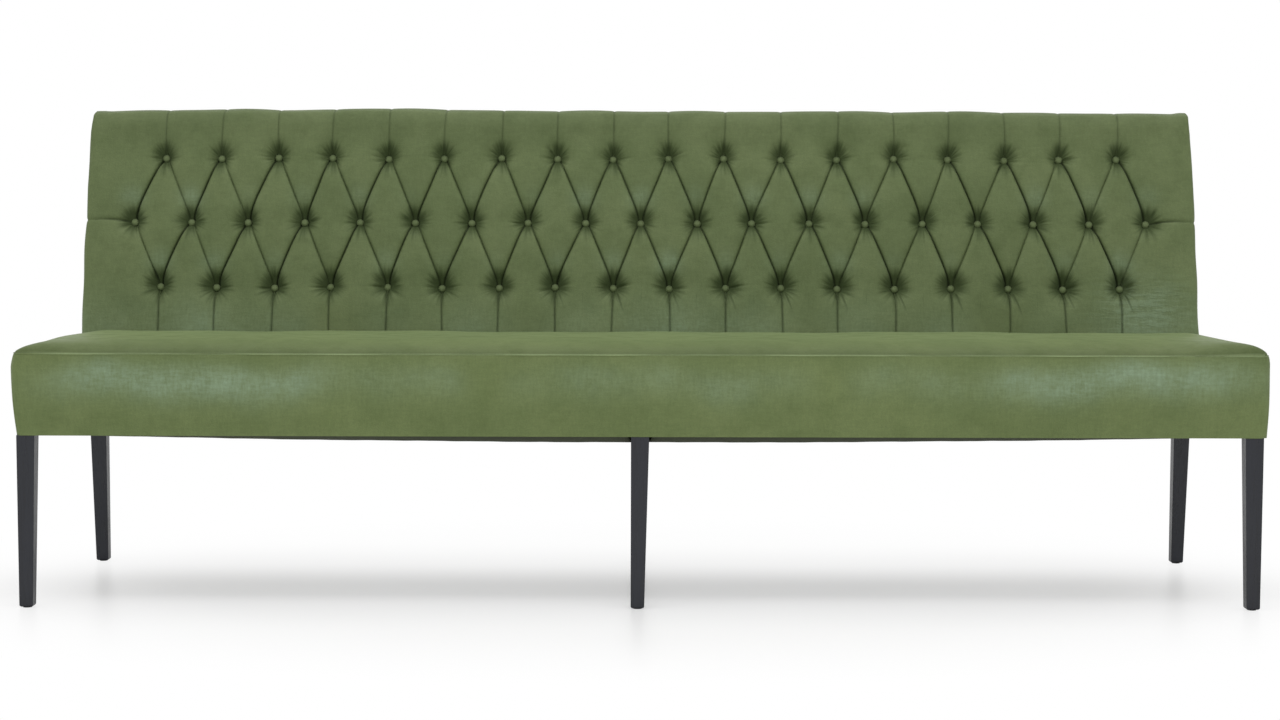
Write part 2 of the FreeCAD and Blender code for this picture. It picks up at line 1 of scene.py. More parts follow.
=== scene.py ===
# %% [markdown]
# # A kitchen bench with a deep-buttoned leather back
# The imported model holds every board, rail, leg and pad of the bench where it belongs. This lesson dresses
# it: the leather gets its tufts, folds and seams, the legs get their soft edges, and every surface gets a
# finish. Nothing of the imported model is moved. A piece that stands for some of its nodes hides them.

# %% Load the imported model
import math
import bmesh
import bpy
import numpy as np
from mathutils import Matrix, Vector


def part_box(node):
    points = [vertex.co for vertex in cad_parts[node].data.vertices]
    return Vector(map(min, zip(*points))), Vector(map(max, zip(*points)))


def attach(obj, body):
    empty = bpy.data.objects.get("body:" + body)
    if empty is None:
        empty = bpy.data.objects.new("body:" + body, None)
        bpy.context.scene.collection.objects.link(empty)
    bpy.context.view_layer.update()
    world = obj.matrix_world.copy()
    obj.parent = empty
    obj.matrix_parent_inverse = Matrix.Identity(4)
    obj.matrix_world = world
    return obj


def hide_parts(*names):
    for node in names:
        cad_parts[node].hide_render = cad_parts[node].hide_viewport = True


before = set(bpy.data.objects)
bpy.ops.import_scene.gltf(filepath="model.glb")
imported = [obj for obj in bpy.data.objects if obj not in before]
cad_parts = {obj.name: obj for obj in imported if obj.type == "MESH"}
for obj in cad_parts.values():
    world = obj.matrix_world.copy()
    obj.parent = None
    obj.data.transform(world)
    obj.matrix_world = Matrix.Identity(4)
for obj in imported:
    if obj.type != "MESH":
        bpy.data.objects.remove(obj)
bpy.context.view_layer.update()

# %% [markdown]
# ## Sizes
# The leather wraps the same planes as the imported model: a back that leans by a few degrees, a half-round
# roll along its top, and a seat box with a seam at the height of the back's foot. The main sizes are read
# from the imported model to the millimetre, in metres, and all the soft pieces are worked out from them.

# %% Planes of the bench
box_low, box_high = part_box("seat_border_panel")
HALF_LENGTH = round(box_high.x, 3)
FRONT = round(box_low.y, 3)
LEG_HEIGHT = round(box_low.z, 3)
SEAM_HEIGHT = round(box_high.z, 3)
BACK_HALF = round(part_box("back_side_panel_right")[1].x, 3)
TOP = round(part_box("back_roll_cover")[1].z, 3)
BACK_THICKNESS = 0.09
LEAN = math.radians(11.7)
REAR_LEDGE = 0.004
ROLL_RADIUS = BACK_THICKNESS / 2
ROLL_Y = -FRONT - ROLL_RADIUS
ROLL_Z = TOP - ROLL_RADIUS
FACE_RISE = ROLL_Z + ROLL_RADIUS * math.sin(LEAN) - SEAM_HEIGHT
FACE_LENGTH = FACE_RISE / math.cos(LEAN)
FACE_Y = ROLL_Y - ROLL_RADIUS * math.cos(LEAN) - FACE_RISE * math.tan(LEAN)
BOX_REAR = FACE_Y + BACK_THICKNESS / math.cos(LEAN) + REAR_LEDGE
print("face length", round(FACE_LENGTH, 4), "foot of the face at y", round(FACE_Y, 4))

# %% [markdown]
# ## Shader sums as Python
# A finish is a small graph of nodes. Wiring each Math node by hand hides the idea, so one class wraps an
# output socket and lets sums be written with plain operators. Every other node comes from one method.


# %% Wires
class Wire:
    """An output socket that can be added, multiplied and so on."""

    def __init__(self, graph, socket):
        self.graph = graph
        self.socket = socket

    def sum(self, operation, first, second):
        return self.graph.add("ShaderNodeMath", {"operation": operation}, {0: first, 1: second})

    def of(self, operation):
        """A function of this number, such as its sine."""
        return self.graph.add("ShaderNodeMath", {"operation": operation}, {0: self})

    def __add__(self, other):
        return self.sum("ADD", self, other)

    def __radd__(self, other):
        return self.sum("ADD", other, self)

    def __sub__(self, other):
        return self.sum("SUBTRACT", self, other)

    def __rsub__(self, other):
        return self.sum("SUBTRACT", other, self)

    def __mul__(self, other):
        return self.sum("MULTIPLY", self, other)

    def __rmul__(self, other):
        return self.sum("MULTIPLY", other, self)

    def between(self, low, high):
        """0 below low, 1 above high, smooth in between."""
        settings = {"interpolation_type": "SMOOTHSTEP"}
        return self.graph.add("ShaderNodeMapRange", settings, {0: self, 1: low, 2: high})


print("operators on a wire: + - *")


# %% Graphs and finishes
class Graph:
    """The nodes of a material or of the world."""

    def __init__(self, tree):
        self.nodes = tree.nodes
        self.links = tree.links

    def put(self, target, given):
        if isinstance(given, Wire):
            self.links.new(given.socket, target)
        else:
            target.default_value = given

    def add(self, kind, settings=None, sockets=None, out=0):
        """A node of any type: its settings first, then its sockets. Gives one of its outputs."""
        item = self.nodes.new(kind)
        for name, given in (settings or {}).items():
            setattr(item, name, given)
        for key, given in (sockets or {}).items():
            self.put(item.inputs[key], given)
        return Wire(self, item.outputs[out])


class Finish(Graph):
    """A material with one Principled shader."""

    def __init__(self, name):
        self.material = bpy.data.materials.new(name)
        self.material.use_nodes = True
        super().__init__(self.material.node_tree)
        self.shader = self.nodes["Principled BSDF"]

    def spot(self, scale=(1.0, 1.0, 1.0)):
        """The place on the piece, stretched along its axes."""
        place = self.add("ShaderNodeTexCoord", out="Object")
        return self.add("ShaderNodeMapping", {}, {"Vector": place, "Scale": scale})

    def noise(self, scale, detail, stretch=(1.0, 1.0, 1.0), rough=0.5):
        sockets = {"Vector": self.spot(stretch), "Scale": scale, "Detail": detail, "Roughness": rough}
        return self.add("ShaderNodeTexNoise", {}, sockets)

    def painted(self, name):
        """A number that the piece carries on its points."""
        return self.add("ShaderNodeAttribute", {"attribute_name": name}, out="Fac")

    def mix(self, share, first, second, blend="MIX"):
        settings = {"data_type": "RGBA", "blend_type": blend}
        return self.add("ShaderNodeMix", settings, {0: share, 6: first, 7: second}, out=2)

    def bump(self, height, distance, strength):
        sockets = {"Strength": strength, "Distance": distance, "Height": height}
        return self.add("ShaderNodeBump", {}, sockets)

    def feed(self, **sockets):
        """Fills sockets of the shader, named with underscores for spaces."""
        for name, given in sockets.items():
            self.put(self.shader.inputs[name.replace("_", " ")], given)
        return self.material


def tone(red, green, blue):
    """A colour as an eye reads it, from 0 to 255, as linear light."""
    parts = [value / 255 for value in (red, green, blue)]
    linear = [part / 12.92 if part <= 0.04045 else ((part + 0.055) / 1.055) ** 2.4 for part in parts]
    return (*linear, 1.0)


print("mid green as light:", [round(part, 3) for part in tone(98, 112, 74)[:3]])

# %% [markdown]
# ## Leather
# The hide is a moss green aniline leather with a waxy hand. Its own colour has a cloudy change of tone over
# a hand's width and a fine pebbled grain. Light and shade are painted on top of it: a cooler, greyer painted
# sheen where light glances off the leather, painted light on the welt, the seat's top and the buttons, and
# painted shade in folds, hollows, grooves and seams, on the upper halves of the buttons and over the top of
# the back. The pieces carry a few numbers on their points, such as how much shade or sheen to paint, so that
# the finish knows where it lies without looking at the camera. Round a button it also knows the way to that
# button, and draws streaks of painted shade that run outwards from it.

# %% Streaks of painted shade round a button
STREAK_SPREAD = (5.0, 5.0, 5.0)
BUTTON_SHIFT = 60.0
DRAG_SLANT = 0.33
DRAG_ASIDE = 0.022


def tuft_shade_streaks(leather):
    """Painted shade of the hollows, with its edge drawn out into spokes, and painted shade along the drag
    lines below them.
    """
    tuft = leather.painted("tuft")
    across = leather.painted("across") - 0.5
    upward = leather.painted("upward") - 0.5
    way = leather.add("ShaderNodeCombineXYZ", {}, {0: across, 1: upward})
    aim = leather.add("ShaderNodeVectorMath", {"operation": "NORMALIZE"}, {0: way})
    turn = leather.add("ShaderNodeCombineXYZ", {}, {2: leather.painted("seed") * BUTTON_SHIFT})
    sockets = {0: aim, 1: STREAK_SPREAD, 2: turn}
    spread = leather.add("ShaderNodeVectorMath", {"operation": "MULTIPLY_ADD"}, sockets)
    streak = leather.add("ShaderNodeTexNoise", {}, {"Vector": spread, "Scale": 1.0, "Detail": 2.0})
    rough_edge = (streak - 0.5) * tuft * (1.0 - tuft) * 3.4
    aside = across + upward * DRAG_SLANT - DRAG_ASIDE
    drag = leather.painted("drag") * aside.of("ABSOLUTE").between(0.016, 0.004)
    return (tuft + rough_edge).between(0.14, 0.9), drag


print("drag lines lean by", round(math.degrees(math.atan(DRAG_SLANT))), "degrees")

# %% Make the leather
# Tones for painted sheen, painted shade and painted light.
SHEEN_PAINT_TONE = tone(132, 152, 124)
PAINTED_SHADE_TONE = tone(30, 40, 18)
TUFT_SHADE_TONE = tone(37, 50, 21)
PLEAT_SHADE_TONE = tone(25, 34, 14)
PAINTED_LIGHT_TONE = tone(140, 156, 112)
SHEEN_TONE = tone(170, 190, 180)


def make_leather(name, base, pale, deep):
    """Green leather. base is its own tone, pale and deep are its clouds."""
    leather = Finish(name)
    clouds = leather.noise(7.0, 4.0).between(0.36, 0.66)
    patches = leather.noise(21.0, 3.0, rough=0.6).between(0.4, 0.7)
    strokes = leather.noise(190.0, 3.0, (1.0, 1.0, 0.25), 0.6).between(0.3, 0.72)
    threads = leather.noise(190.0, 3.0, (0.25, 1.0, 1.0), 0.6).between(0.3, 0.72)
    level = leather.noise(75.0, 3.0, (0.3, 1.0, 1.6), 0.6)
    specks = leather.noise(420.0, 2.0)
    # dark is the painted shade round the buttons, drag the painted shade along the drag lines.
    dark, drag = tuft_shade_streaks(leather)
    # pleat is the painted shade in the slits of the pleats.
    pleat = leather.painted("pleat").between(0.15, 1.0)
    # hollow is painted shade: in hollows and grooves, on the buttons, over the top of the back and above the
    # seat's seam.
    hollow = leather.painted("hollow")
    wrinkle = leather.painted("wrinkle") * level.between(0.42, 0.6)
    # Painted sheen: a cooler, greyer colour where light glances off the leather.
    sheen_share = leather.painted("painted_sheen") * (0.3 + clouds * 0.3 + patches * 0.25 + (threads + strokes) * 0.24)
    colour = leather.mix(clouds * 0.5, base, pale)
    # Layers over the leather's own colour: painted sheen, also on the wrinkles, then painted shade in hollows,
    # along drag lines, round buttons and in pleats, then painted light.
    layers = ((patches * 0.35, deep), (sheen_share, SHEEN_PAINT_TONE), (wrinkle * 0.3, SHEEN_PAINT_TONE),
              (hollow * 0.85, PAINTED_SHADE_TONE), (drag * 0.5, TUFT_SHADE_TONE), (dark * 0.74, TUFT_SHADE_TONE),
              (pleat * 0.7, PLEAT_SHADE_TONE), (leather.painted("painted_light") * 0.6, PAINTED_LIGHT_TONE))
    for share, layer_tone in layers:
        colour = leather.mix(share, colour, layer_tone)
    shade = (specks - 0.5) * 0.3 + (strokes + threads - 1.0) * 0.07 + 1.0
    grey = leather.add("ShaderNodeCombineColor", {}, {0: shade, 1: shade, 2: shade})
    colour = leather.mix(1.0, colour, grey, "MULTIPLY")
    sockets = {"Vector": leather.spot(), "Scale": 330.0, "Smoothness": 0.6}
    pebbles = leather.add("ShaderNodeTexVoronoi", {"feature": "SMOOTH_F1"}, sockets)
    creases = leather.noise(38.0, 5.0, (1.0, 1.0, 1.6), 0.6)
    height = pebbles * 0.35 + specks * 0.3 + creases * 0.9 + wrinkle * 1.2 - drag * 2.0
    rough = 0.5 + patches * 0.1 - sheen_share * 0.08 + (hollow + dark) * 0.2 + (specks - 0.5) * 0.1
    leather.feed(Specular_IOR_Level=0.16, Sheen_Weight=0.04, Sheen_Roughness=0.45, Sheen_Tint=SHEEN_TONE)
    return leather.feed(Base_Color=colour, Roughness=rough, Normal=leather.bump(height, 0.0011, 0.45))


BACK_TONES = (tone(96, 109, 71), tone(107, 119, 80), tone(84, 97, 61))
SEAT_TONES = (tone(103, 117, 73), tone(115, 128, 82), tone(91, 105, 63))
back_leather = make_leather("moss_leather_back", *BACK_TONES)
seat_leather = make_leather("moss_leather_seat", *SEAT_TONES)
print("leathers:", back_leather.name, seat_leather.name)

# %% [markdown]
# ## Woods, cloths and plastic
# The legs are stained black: the grain shows only as faint streaks and a change of gloss. Inside the bench
# are plain beech rails, birch boards and woven webbing. They are hidden, but anyone who opens the part sees
# them, so each has its own finish too.


# %% Woods
def make_stain():
    """Black stain on wood, with the grain left as faint cool streaks."""
    stain = Finish("black_stained_wood")
    grain = stain.noise(120.0, 5.0, (1.0, 1.0, 0.04), 0.6).between(0.3, 0.75)
    pores = stain.noise(620.0, 2.0, (1.0, 1.0, 0.03)).between(0.52, 0.7)
    cloud = stain.noise(9.0, 2.0, (1.0, 1.0, 0.4)).between(0.3, 0.7)
    colour = stain.mix(grain * 0.5, tone(24, 26, 33), tone(34, 37, 46))
    colour = stain.mix(pores * 0.45, colour, tone(15, 15, 17))
    colour = stain.mix(cloud * 0.25, colour, tone(36, 40, 48))
    rough = 0.26 + grain * 0.08 + pores * 0.15
    relief = stain.bump(grain - pores, 0.0003, 0.35)
    return stain.feed(Base_Color=colour, Roughness=rough, Normal=relief, Specular_IOR_Level=0.45)


def make_timber(name, light, dark, stretch, ring_scale):
    """Plain sawn wood with grain along one axis."""
    timber = Finish(name)
    rings = timber.noise(ring_scale, 5.0, stretch, 0.6).between(0.3, 0.72)
    pores = timber.noise(ring_scale * 9, 2.0, stretch).between(0.5, 0.72)
    colour = timber.mix(rings, light, dark)
    colour = timber.mix(pores * 0.35, colour, tone(110, 80, 52))
    relief = timber.bump(rings * 0.4 - pores, 0.0004, 0.4)
    return timber.feed(Base_Color=colour, Roughness=0.55 + pores * 0.2, Normal=relief)


ALONG, ACROSS, UPRIGHT = (0.05, 1.0, 1.0), (1.0, 0.05, 1.0), (1.0, 1.0, 0.05)
BEECH_RINGS = 60.0
leg_stain = make_stain()
beech_along = make_timber("beech_along", tone(214, 182, 140), tone(188, 150, 106), ALONG, BEECH_RINGS)
beech_across = make_timber("beech_across", tone(212, 180, 138), tone(186, 148, 104), ACROSS, BEECH_RINGS)
beech_upright = make_timber("beech_upright", tone(210, 178, 136), tone(184, 146, 102), UPRIGHT, BEECH_RINGS)
birch_board = make_timber("birch_board", tone(220, 196, 156), tone(204, 174, 130), (0.08, 1.0, 1.0), 26.0)
print("finishes so far:", len(bpy.data.materials))


# %% Cloths and plastic
def make_cloth(name, light, dark, pitch, gloss):
    """Woven cloth with a crossing of threads."""
    cloth = Finish(name)
    turns = 2 * math.pi / pitch
    place = cloth.add("ShaderNodeSeparateXYZ", {}, {0: cloth.spot()})
    along, across = (Wire(cloth, socket) for socket in place.socket.node.outputs[:2])
    weave = (along * turns).of("SINE") * (across * turns).of("SINE") * 0.5 + 0.5
    wear = cloth.noise(30.0, 4.0)
    colour = cloth.mix(weave * 0.6 + wear * 0.3, dark, light)
    relief = cloth.bump(weave, 0.0005, 0.5)
    return cloth.feed(Base_Color=colour, Roughness=gloss + wear * 0.1, Normal=relief)


def make_plastic():
    """Moulded plastic of the glides, scuffed on the floor."""
    plastic = Finish("glide_plastic")
    scuffs = plastic.noise(260.0, 4.0, (1.0, 1.0, 0.3)).between(0.45, 0.7)
    colour = plastic.mix(scuffs * 0.5, tone(38, 38, 39), tone(66, 66, 66))
    relief = plastic.bump(scuffs, 0.0002, 0.3)
    return plastic.feed(Base_Color=colour, Roughness=0.45 + scuffs * 0.25, Normal=relief)


webbing = make_cloth("woven_webbing", tone(158, 132, 92), tone(96, 76, 48), 0.004, 0.8)
# The dust cloth is black; its olive tint is painted light that stands in for green light thrown back from the
# leather.
black_cloth = make_cloth("black_dust_cloth", tone(70, 75, 54), tone(44, 49, 34), 0.0016, 0.7)
glide_plastic = make_plastic()
print("finishes:", len(bpy.data.materials))

# %% [markdown]
# ## Handing a piece over
# Each piece is a mesh at the origin, so its own coordinates are the bench's coordinates and the grain of one
# piece runs on in the next. The helper names it, smooths it, gives it its finish in a material slot, hangs it
# on the bench's body and hides the nodes of the imported model that it stands for.


# %% Helpers for finished pieces
def hand_over(name, mesh, material, nodes, smooth=True):
    """A finished piece on the bench's only body."""
    piece = bpy.data.objects.new(name, mesh)
    bpy.context.scene.collection.objects.link(piece)
    mesh.materials.append(material)
    mesh.polygons.foreach_set("use_smooth", [smooth] * len(mesh.polygons))
    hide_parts(*nodes)
    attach(piece, "root")
    triangles = sum(len(face.vertices) - 2 for face in mesh.polygons)
    print(name, len(mesh.vertices), "points", triangles, "triangles")
    return piece


def to_mesh(shape, name):
    """A mesh from a bmesh, with its faces turned outwards."""
    bmesh.ops.recalc_face_normals(shape, faces=shape.faces)
    mesh = bpy.data.meshes.new(name)
    shape.to_mesh(mesh)
    shape.free()
    return mesh


def paint(mesh, name, numbers):
    """Keeps one number for each point of a mesh, for its finish to read."""
    layer = mesh.attributes.new(name, "FLOAT", "POINT")
    layer.data.foreach_set("value", np.ascontiguousarray(np.clip(numbers, 0, 1), dtype=np.float32))


# %% [markdown]
# ## Soft steps
# Leather and cloth change gently from place to place, so nearly every shape below is made of five curves: a
# ramp up, a ramp down, a bell, the fall of a rounded edge and a sum of waves.


# %% Curves
def rise(value, start, length):
    """0 up to start, then straight up to 1 over a length."""
    return np.clip((value - start) / length, 0, 1)


def fall(value, end, length):
    """1 until a length before end, then straight down to 0."""
    return np.clip((end - value) / length, 0, 1)


def bell(value, centre, width):
    """1 at the centre, fading on both sides."""
    return np.exp(-((value - centre) / width) ** 2)


def edge_fall(away, radius):
    """How far a rounded edge has fallen, as a share of its radius, at a distance in from the edge."""
    return 1 - np.sqrt(1 - fall(away, radius, radius) ** 2)


def waves(x, *terms):
    """A sum of sine waves along the bench, each with a size, its turns and a shift."""
    return sum(size * np.sin(x * turns + shift) for size, turns, shift in terms)


print("half a radius in, a rounded edge has fallen by", round(float(edge_fall(0.5, 1.0)), 3))

# %% [markdown]
# ## The buttoned back
# Deep buttoning pulls the hide down to the board at each button, and the spare leather between two buttons
# is tucked into a pleat. So the pillows aren't carved lines: their edges are the pleats. A plain grid can't
# follow slanting pleats without a saw-tooth, so its columns are laid along them. Between two rows every
# column belongs to the strip that opens below the upper button or to the strip that closes on the lower one.

# %% Rows of buttons
PITCH = 0.1219
ROW_UPS = (0.1189, 0.2619, 0.4049)
ROW_COUNTS = (18, 19, 18)
ROW_GAP = ROW_UPS[1] - ROW_UPS[0]


def place_of(column, count):
    """Place along the bench of a button in a row of count buttons."""
    return (column - (count - 1) / 2) * PITCH


def nearest_column(x, count):
    """Number of the button of such a row that lies nearest along the bench."""
    return np.clip(np.round(x / PITCH + (count - 1) / 2), 0, count - 1)


TOP_COUNT = ROW_COUNTS[2]
TOP_PLACES = [place_of(column, TOP_COUNT) for column in range(TOP_COUNT)]
button_places = [(place_of(column, count), up)
                 for up, count in zip(ROW_UPS, ROW_COUNTS) for column in range(count)]
print("buttons:", len(button_places))

# %% Courses of the pleats
TIP = 0.0045
FOLD_HALF = 0.0008
FOLD_FADE = 0.011
PLEAT_STOPS = ((0, 0), (0.09, 0.1), (0.6, 0.68), (0.82, 0.925), (0.92, 1), (1, 1))


def pleat_course(share):
    """How far a pleat has gone to the side, at a share of its way down to the lower button."""
    stops, gone = np.array(PLEAT_STOPS).T
    steps = np.linspace(-0.05, 0.05, 7)
    return sum(np.interp(share + step, stops, gone) for step in steps) / len(steps)


def fold_half(away):
    """Half the width of an upright fold, at a distance above or below its row of buttons."""
    return FOLD_HALF + (TIP - FOLD_HALF) * np.exp(-away / FOLD_FADE)


def strip_half(up):
    """Half the width of the strips that open at the top and bottom rows, at a height up the back."""
    low, middle, high = ROW_UPS
    opening = PITCH / 2 - 2 * TIP
    upper = TIP + opening * pleat_course(fall(up, high, ROW_GAP))
    lower = PITCH / 2 - TIP - opening * pleat_course(fall(up, middle, ROW_GAP))
    half = np.where(up > middle, upper, lower)
    half = np.where(up > high, fold_half(up - high), half)
    return np.where(up < low, fold_half(low - up), half)


halfway = (ROW_UPS[1] + ROW_UPS[2]) / 2
print("strip half way between rows:", round(float(strip_half(np.array(halfway))) * 2000, 1), "mm wide")

# %% [markdown]
# The rows of the grid lie close together near the buttons, where the leather turns sharply, and further
# apart on the smooth crowns. A density is summed along the way up the back and over the roll, and the rows
# are read off at equal steps of that sum.

# %% Lay out the grid
COVER_LENGTH = FACE_LENGTH + math.pi * ROLL_RADIUS
OVERLAP = 0.012
ROW_STEPS = 162
STRIP_STEPS = 15
END_STEPS = 30
EDGE_RADIUS = 0.013
FLAT_END = BACK_HALF - EDGE_RADIUS
rng = np.random.default_rng(7)


def grid_rows(count):
    """Heights of the rows, close near the rows of buttons and on the crest of the roll."""
    way = np.linspace(-OVERLAP, COVER_LENGTH + OVERLAP, 4000)
    density = np.full_like(way, 1.0)
    for up in ROW_UPS:
        density += 1.6 * bell(way, up, 0.02)
    density += 0.5 * bell(way, FACE_LENGTH + 0.05, 0.04)
    total = np.concatenate([[0], np.cumsum((density[1:] + density[:-1]) / 2)])
    rows = np.interp(np.linspace(0, total[-1], count), total, way)
    rows[np.argmin(abs(rows - ROW_UPS[1]))] = ROW_UPS[1]
    return rows


def grid_columns(ups):
    """Places of the columns along the flat part of the cover, for a column of row heights."""
    half = strip_half(ups)
    share = (1 - np.cos(np.pi * np.arange(STRIP_STEPS) / STRIP_STEPS)) / 2
    end_share = np.linspace(0, 1, END_STEPS + 1)[:-1] ** 1.35
    parts = [-FLAT_END + (TOP_PLACES[0] - half + FLAT_END) * (1 - end_share[::-1])]
    for middle in TOP_PLACES:
        parts.append(middle - half + 2 * half * share)
        if middle < TOP_PLACES[-1]:
            parts.append(middle + half + (PITCH - 2 * half) * share)
    parts.append(TOP_PLACES[-1] + half + (FLAT_END - TOP_PLACES[-1] - half) * end_share)
    return np.hstack(parts + [np.full_like(half, FLAT_END)])


row_ups = grid_rows(ROW_STEPS)[:, None]
flat_x = grid_columns(row_ups)
print("flat columns", flat_x.shape)

# %% [markdown]
# ### How deep the leather lies
# The depth below the plane of the crowns is a sum of plain shapes. A pleat has a narrow slit and a wide,
# soft shoulder. A button has a round hollow that reaches further up than down. Short creases run out of each
# hollow like spokes. Long soft swells keep two pillows from being twins.

# %% Pleats
PLEAT_SLANT = 0.92
UPPER_FOLD = 0.49
LOWER_FOLD = 0.6
FADE_UP = 0.03


def beside_top_row(x):
    """Distance along the bench, with its sign, from the nearest button of the top or bottom row."""
    return x - place_of(nearest_column(x, TOP_COUNT), TOP_COUNT)


def pleat_distance(x, ups):
    """Distance to the nearest pleat, measured across it."""
    return abs(abs(beside_top_row(x)) - strip_half(ups)) * PLEAT_SLANT


def slit_depths(ups):
    """Depth of the slit, depth of the soft shoulder and width of the slit at each row."""
    above = rise(ups, ROW_UPS[2], FADE_UP)
    below = fall(ups, ROW_UPS[0], FADE_UP)
    over = rise(ups, FACE_LENGTH - 0.01, COVER_LENGTH - FACE_LENGTH)
    slit = 0.0088 - 0.0056 * above - 0.0040 * below - 0.0012 * over
    shoulder = 0.0044 - 0.0034 * above - 0.0030 * below - 0.0004 * over
    width = 0.0021 - 0.0008 * np.maximum(above, below)
    return slit, shoulder, width


def pleat_weight(x, ups):
    """How hard each pleat was drawn in: those that fall towards the near end of the bench are deeper."""
    side = np.sign(beside_top_row(x))
    falls_right = np.where(ups > ROW_UPS[1], side, -side)
    weight = 0.8 + 0.3 * falls_right * np.clip(x / 1.1, -1, 1)
    weight = np.where(ups > ROW_UPS[2], UPPER_FOLD, weight)
    return np.where(ups < ROW_UPS[0], LOWER_FOLD, weight)


def end_pleat(x, ups):
    """Depth of the level pleat from the middle row to each end, and how much shade is painted along its line.
    """
    arch = 0.004 * np.sin(rise(abs(x), 1.097, 0.1) * np.pi)
    away = abs(ups - ROW_UPS[1] - arch)
    depth = 0.006 * np.exp(-away / 0.0024) + 0.003 * fall(away, 0.05, 0.05) ** 2
    is_end = rise(abs(x), 1.094, 0.012) * (1 - 0.6 * rise(abs(x), 1.14, 0.04))
    return depth * is_end, fall(away, 0.004, 0.004) * is_end * 0.9


print("weight of the hardest drawn pleat:", round(float(pleat_weight(flat_x, row_ups).max()), 2))


# %% The way to each button
def nearest_button(x, ups):
    """Number of the nearest button for each point."""
    best = np.full(x.shape, np.inf)
    number = np.zeros(x.shape, dtype=int)
    start = 0
    for up, count in zip(ROW_UPS, ROW_COUNTS):
        column = nearest_column(x, count).astype(int)
        way = np.hypot(x - place_of(column, count), ups - up)
        number = np.where(way < best, column + start, number)
        best = np.minimum(way, best)
        start += count
    return number


number = nearest_button(flat_x, row_ups)
centres = np.array(button_places)[number]
across = flat_x - centres[..., 0]
upward = row_ups - centres[..., 1]
print("furthest from a button:", round(float(np.hypot(across, upward).max()) * 1000), "mm")

# %% Hollows and creases
HOLLOW_DEPTH = 0.024
HOLLOW_REACH = 0.0215
PLEAT_REACH = 0.048
SPOKES = 11
SPOKE_DEPTH = 0.0034
SPOKE_WIDTH = 0.0019
SPOKE_PLACE = 0.02
SLACK = 0.0016


def spoke_creases(aim, reach):
    """Depth of the creases that run out of each hollow. Two of them lie nearly level."""
    size = (len(button_places), SPOKES)
    aims = rng.uniform(0, 2 * np.pi, size)
    aims[:, 0] = rng.normal(np.pi, 0.12, len(aims))
    aims[:, 1] = rng.normal(0.06, 0.12, len(aims))
    weights = rng.uniform(0.25, 1.0, size)
    lengths = rng.uniform(0.006, 0.014, size)
    depth = np.zeros_like(reach)
    for spoke in range(SPOKES):
        turn = np.angle(np.exp(1j * (aim - aims[number, spoke])))
        line = bell(turn * reach, 0, SPOKE_WIDTH) * (abs(turn) < 1)
        window = bell(reach, SPOKE_PLACE, lengths[number, spoke])
        depth += SPOKE_DEPTH * weights[number, spoke] * line * window
    return depth


def soft_swells(x, ups):
    """Long waves of half a millimetre."""
    depth = np.zeros_like(x)
    for _ in range(9):
        turns_x, turns_up = rng.normal(0, 24, 2)
        depth += 0.0005 * np.sin(turns_x * x + turns_up * ups + rng.uniform(0, 6.28))
    return depth


def corner_ears(x, ups):
    """How far the leather stands up at the corners of the roll, more on the right."""
    ears = 0.0026 * bell(x, FLAT_END, 0.012) + 0.0012 * bell(x, -FLAT_END, 0.012)
    return ears * bell(ups, FACE_LENGTH + 0.06, 0.03)


def leather_depth(x, ups):
    """Depth of the leather, and how much shade is painted along the line of each pleat."""
    reach = np.hypot(across, np.where(upward > 0, upward * 0.76, upward * 1.15))
    hollow = np.exp(-(reach / HOLLOW_REACH) ** 1.6)
    away = pleat_distance(x, ups)
    pull = pleat_weight(x, ups)
    slit, shoulder, width = slit_depths(ups)
    end_depth, end_shade_line = end_pleat(x, ups)
    pleat = pull * slit * np.exp(-away / width) + shoulder * fall(away, PLEAT_REACH, PLEAT_REACH) ** 2
    pleat = np.maximum(pleat, end_depth)
    spokes = spoke_creases(np.arctan2(upward, across), reach)
    swell = soft_swells(x, ups)
    depth = HOLLOW_DEPTH * hollow + pleat * (1 - 0.55 * hollow) + spokes + swell + SLACK
    dive = 0.4 * np.clip(ups - COVER_LENGTH + 0.003, 0, None)
    line = np.maximum(end_shade_line, fall(away, 0.0042, 0.0042) * pull)
    return depth - corner_ears(x, ups) + dive, line


depth, pleat_shade_line = leather_depth(flat_x, row_ups)
print("deepest point", round(float(depth.max()) * 1000, 1), "mm")

# %% [markdown]
# From just left of the middle to the right end, the hide was pulled a little to one side under the bottom
# row, which left a short drag line beside each fold, and the last bay has a patch of fine wrinkles. They are
# small, but they are what tells hand work from a pressed pattern.

# %% Drag lines and wrinkles
FIRST_DRAGGED = 7


def drag_lines(x, ups):
    """Short slanting creases below the bottom row."""
    depth = np.zeros_like(x)
    down = ROW_UPS[0] - 0.012 - ups
    for column, place in enumerate(TOP_PLACES):
        strength = 0.0 if column < FIRST_DRAGGED else rng.uniform(0.6, 1.0)
        lean = rng.uniform(0.28, 0.42)
        length = rng.uniform(0.045, 0.075)
        window = rise(down, 0, 0.01) * fall(down, length, 0.04)
        depth += 0.0026 * strength * window * bell(x, place + 0.006 + lean * down, 0.003)
    return depth


def corner_wrinkles(x, ups):
    """Fine level wrinkles low on the right, and a few on the left."""
    wavy = np.sin(ups * 620 + waves(x, (6, 31, 0), (3, 73, 0)))
    right = bell(x, 1.12, 0.05) * bell(ups, 0.075, 0.05)
    left = 0.4 * bell(x, -1.13, 0.04) * bell(ups, 0.06, 0.04)
    return 0.0004 * wavy * (right + left)


depth = depth + drag_lines(flat_x, row_ups) + corner_wrinkles(flat_x, row_ups)
print("drag lines down to", round(float(depth[row_ups[:, 0] < 0.1].max()) * 1000, 1), "mm")

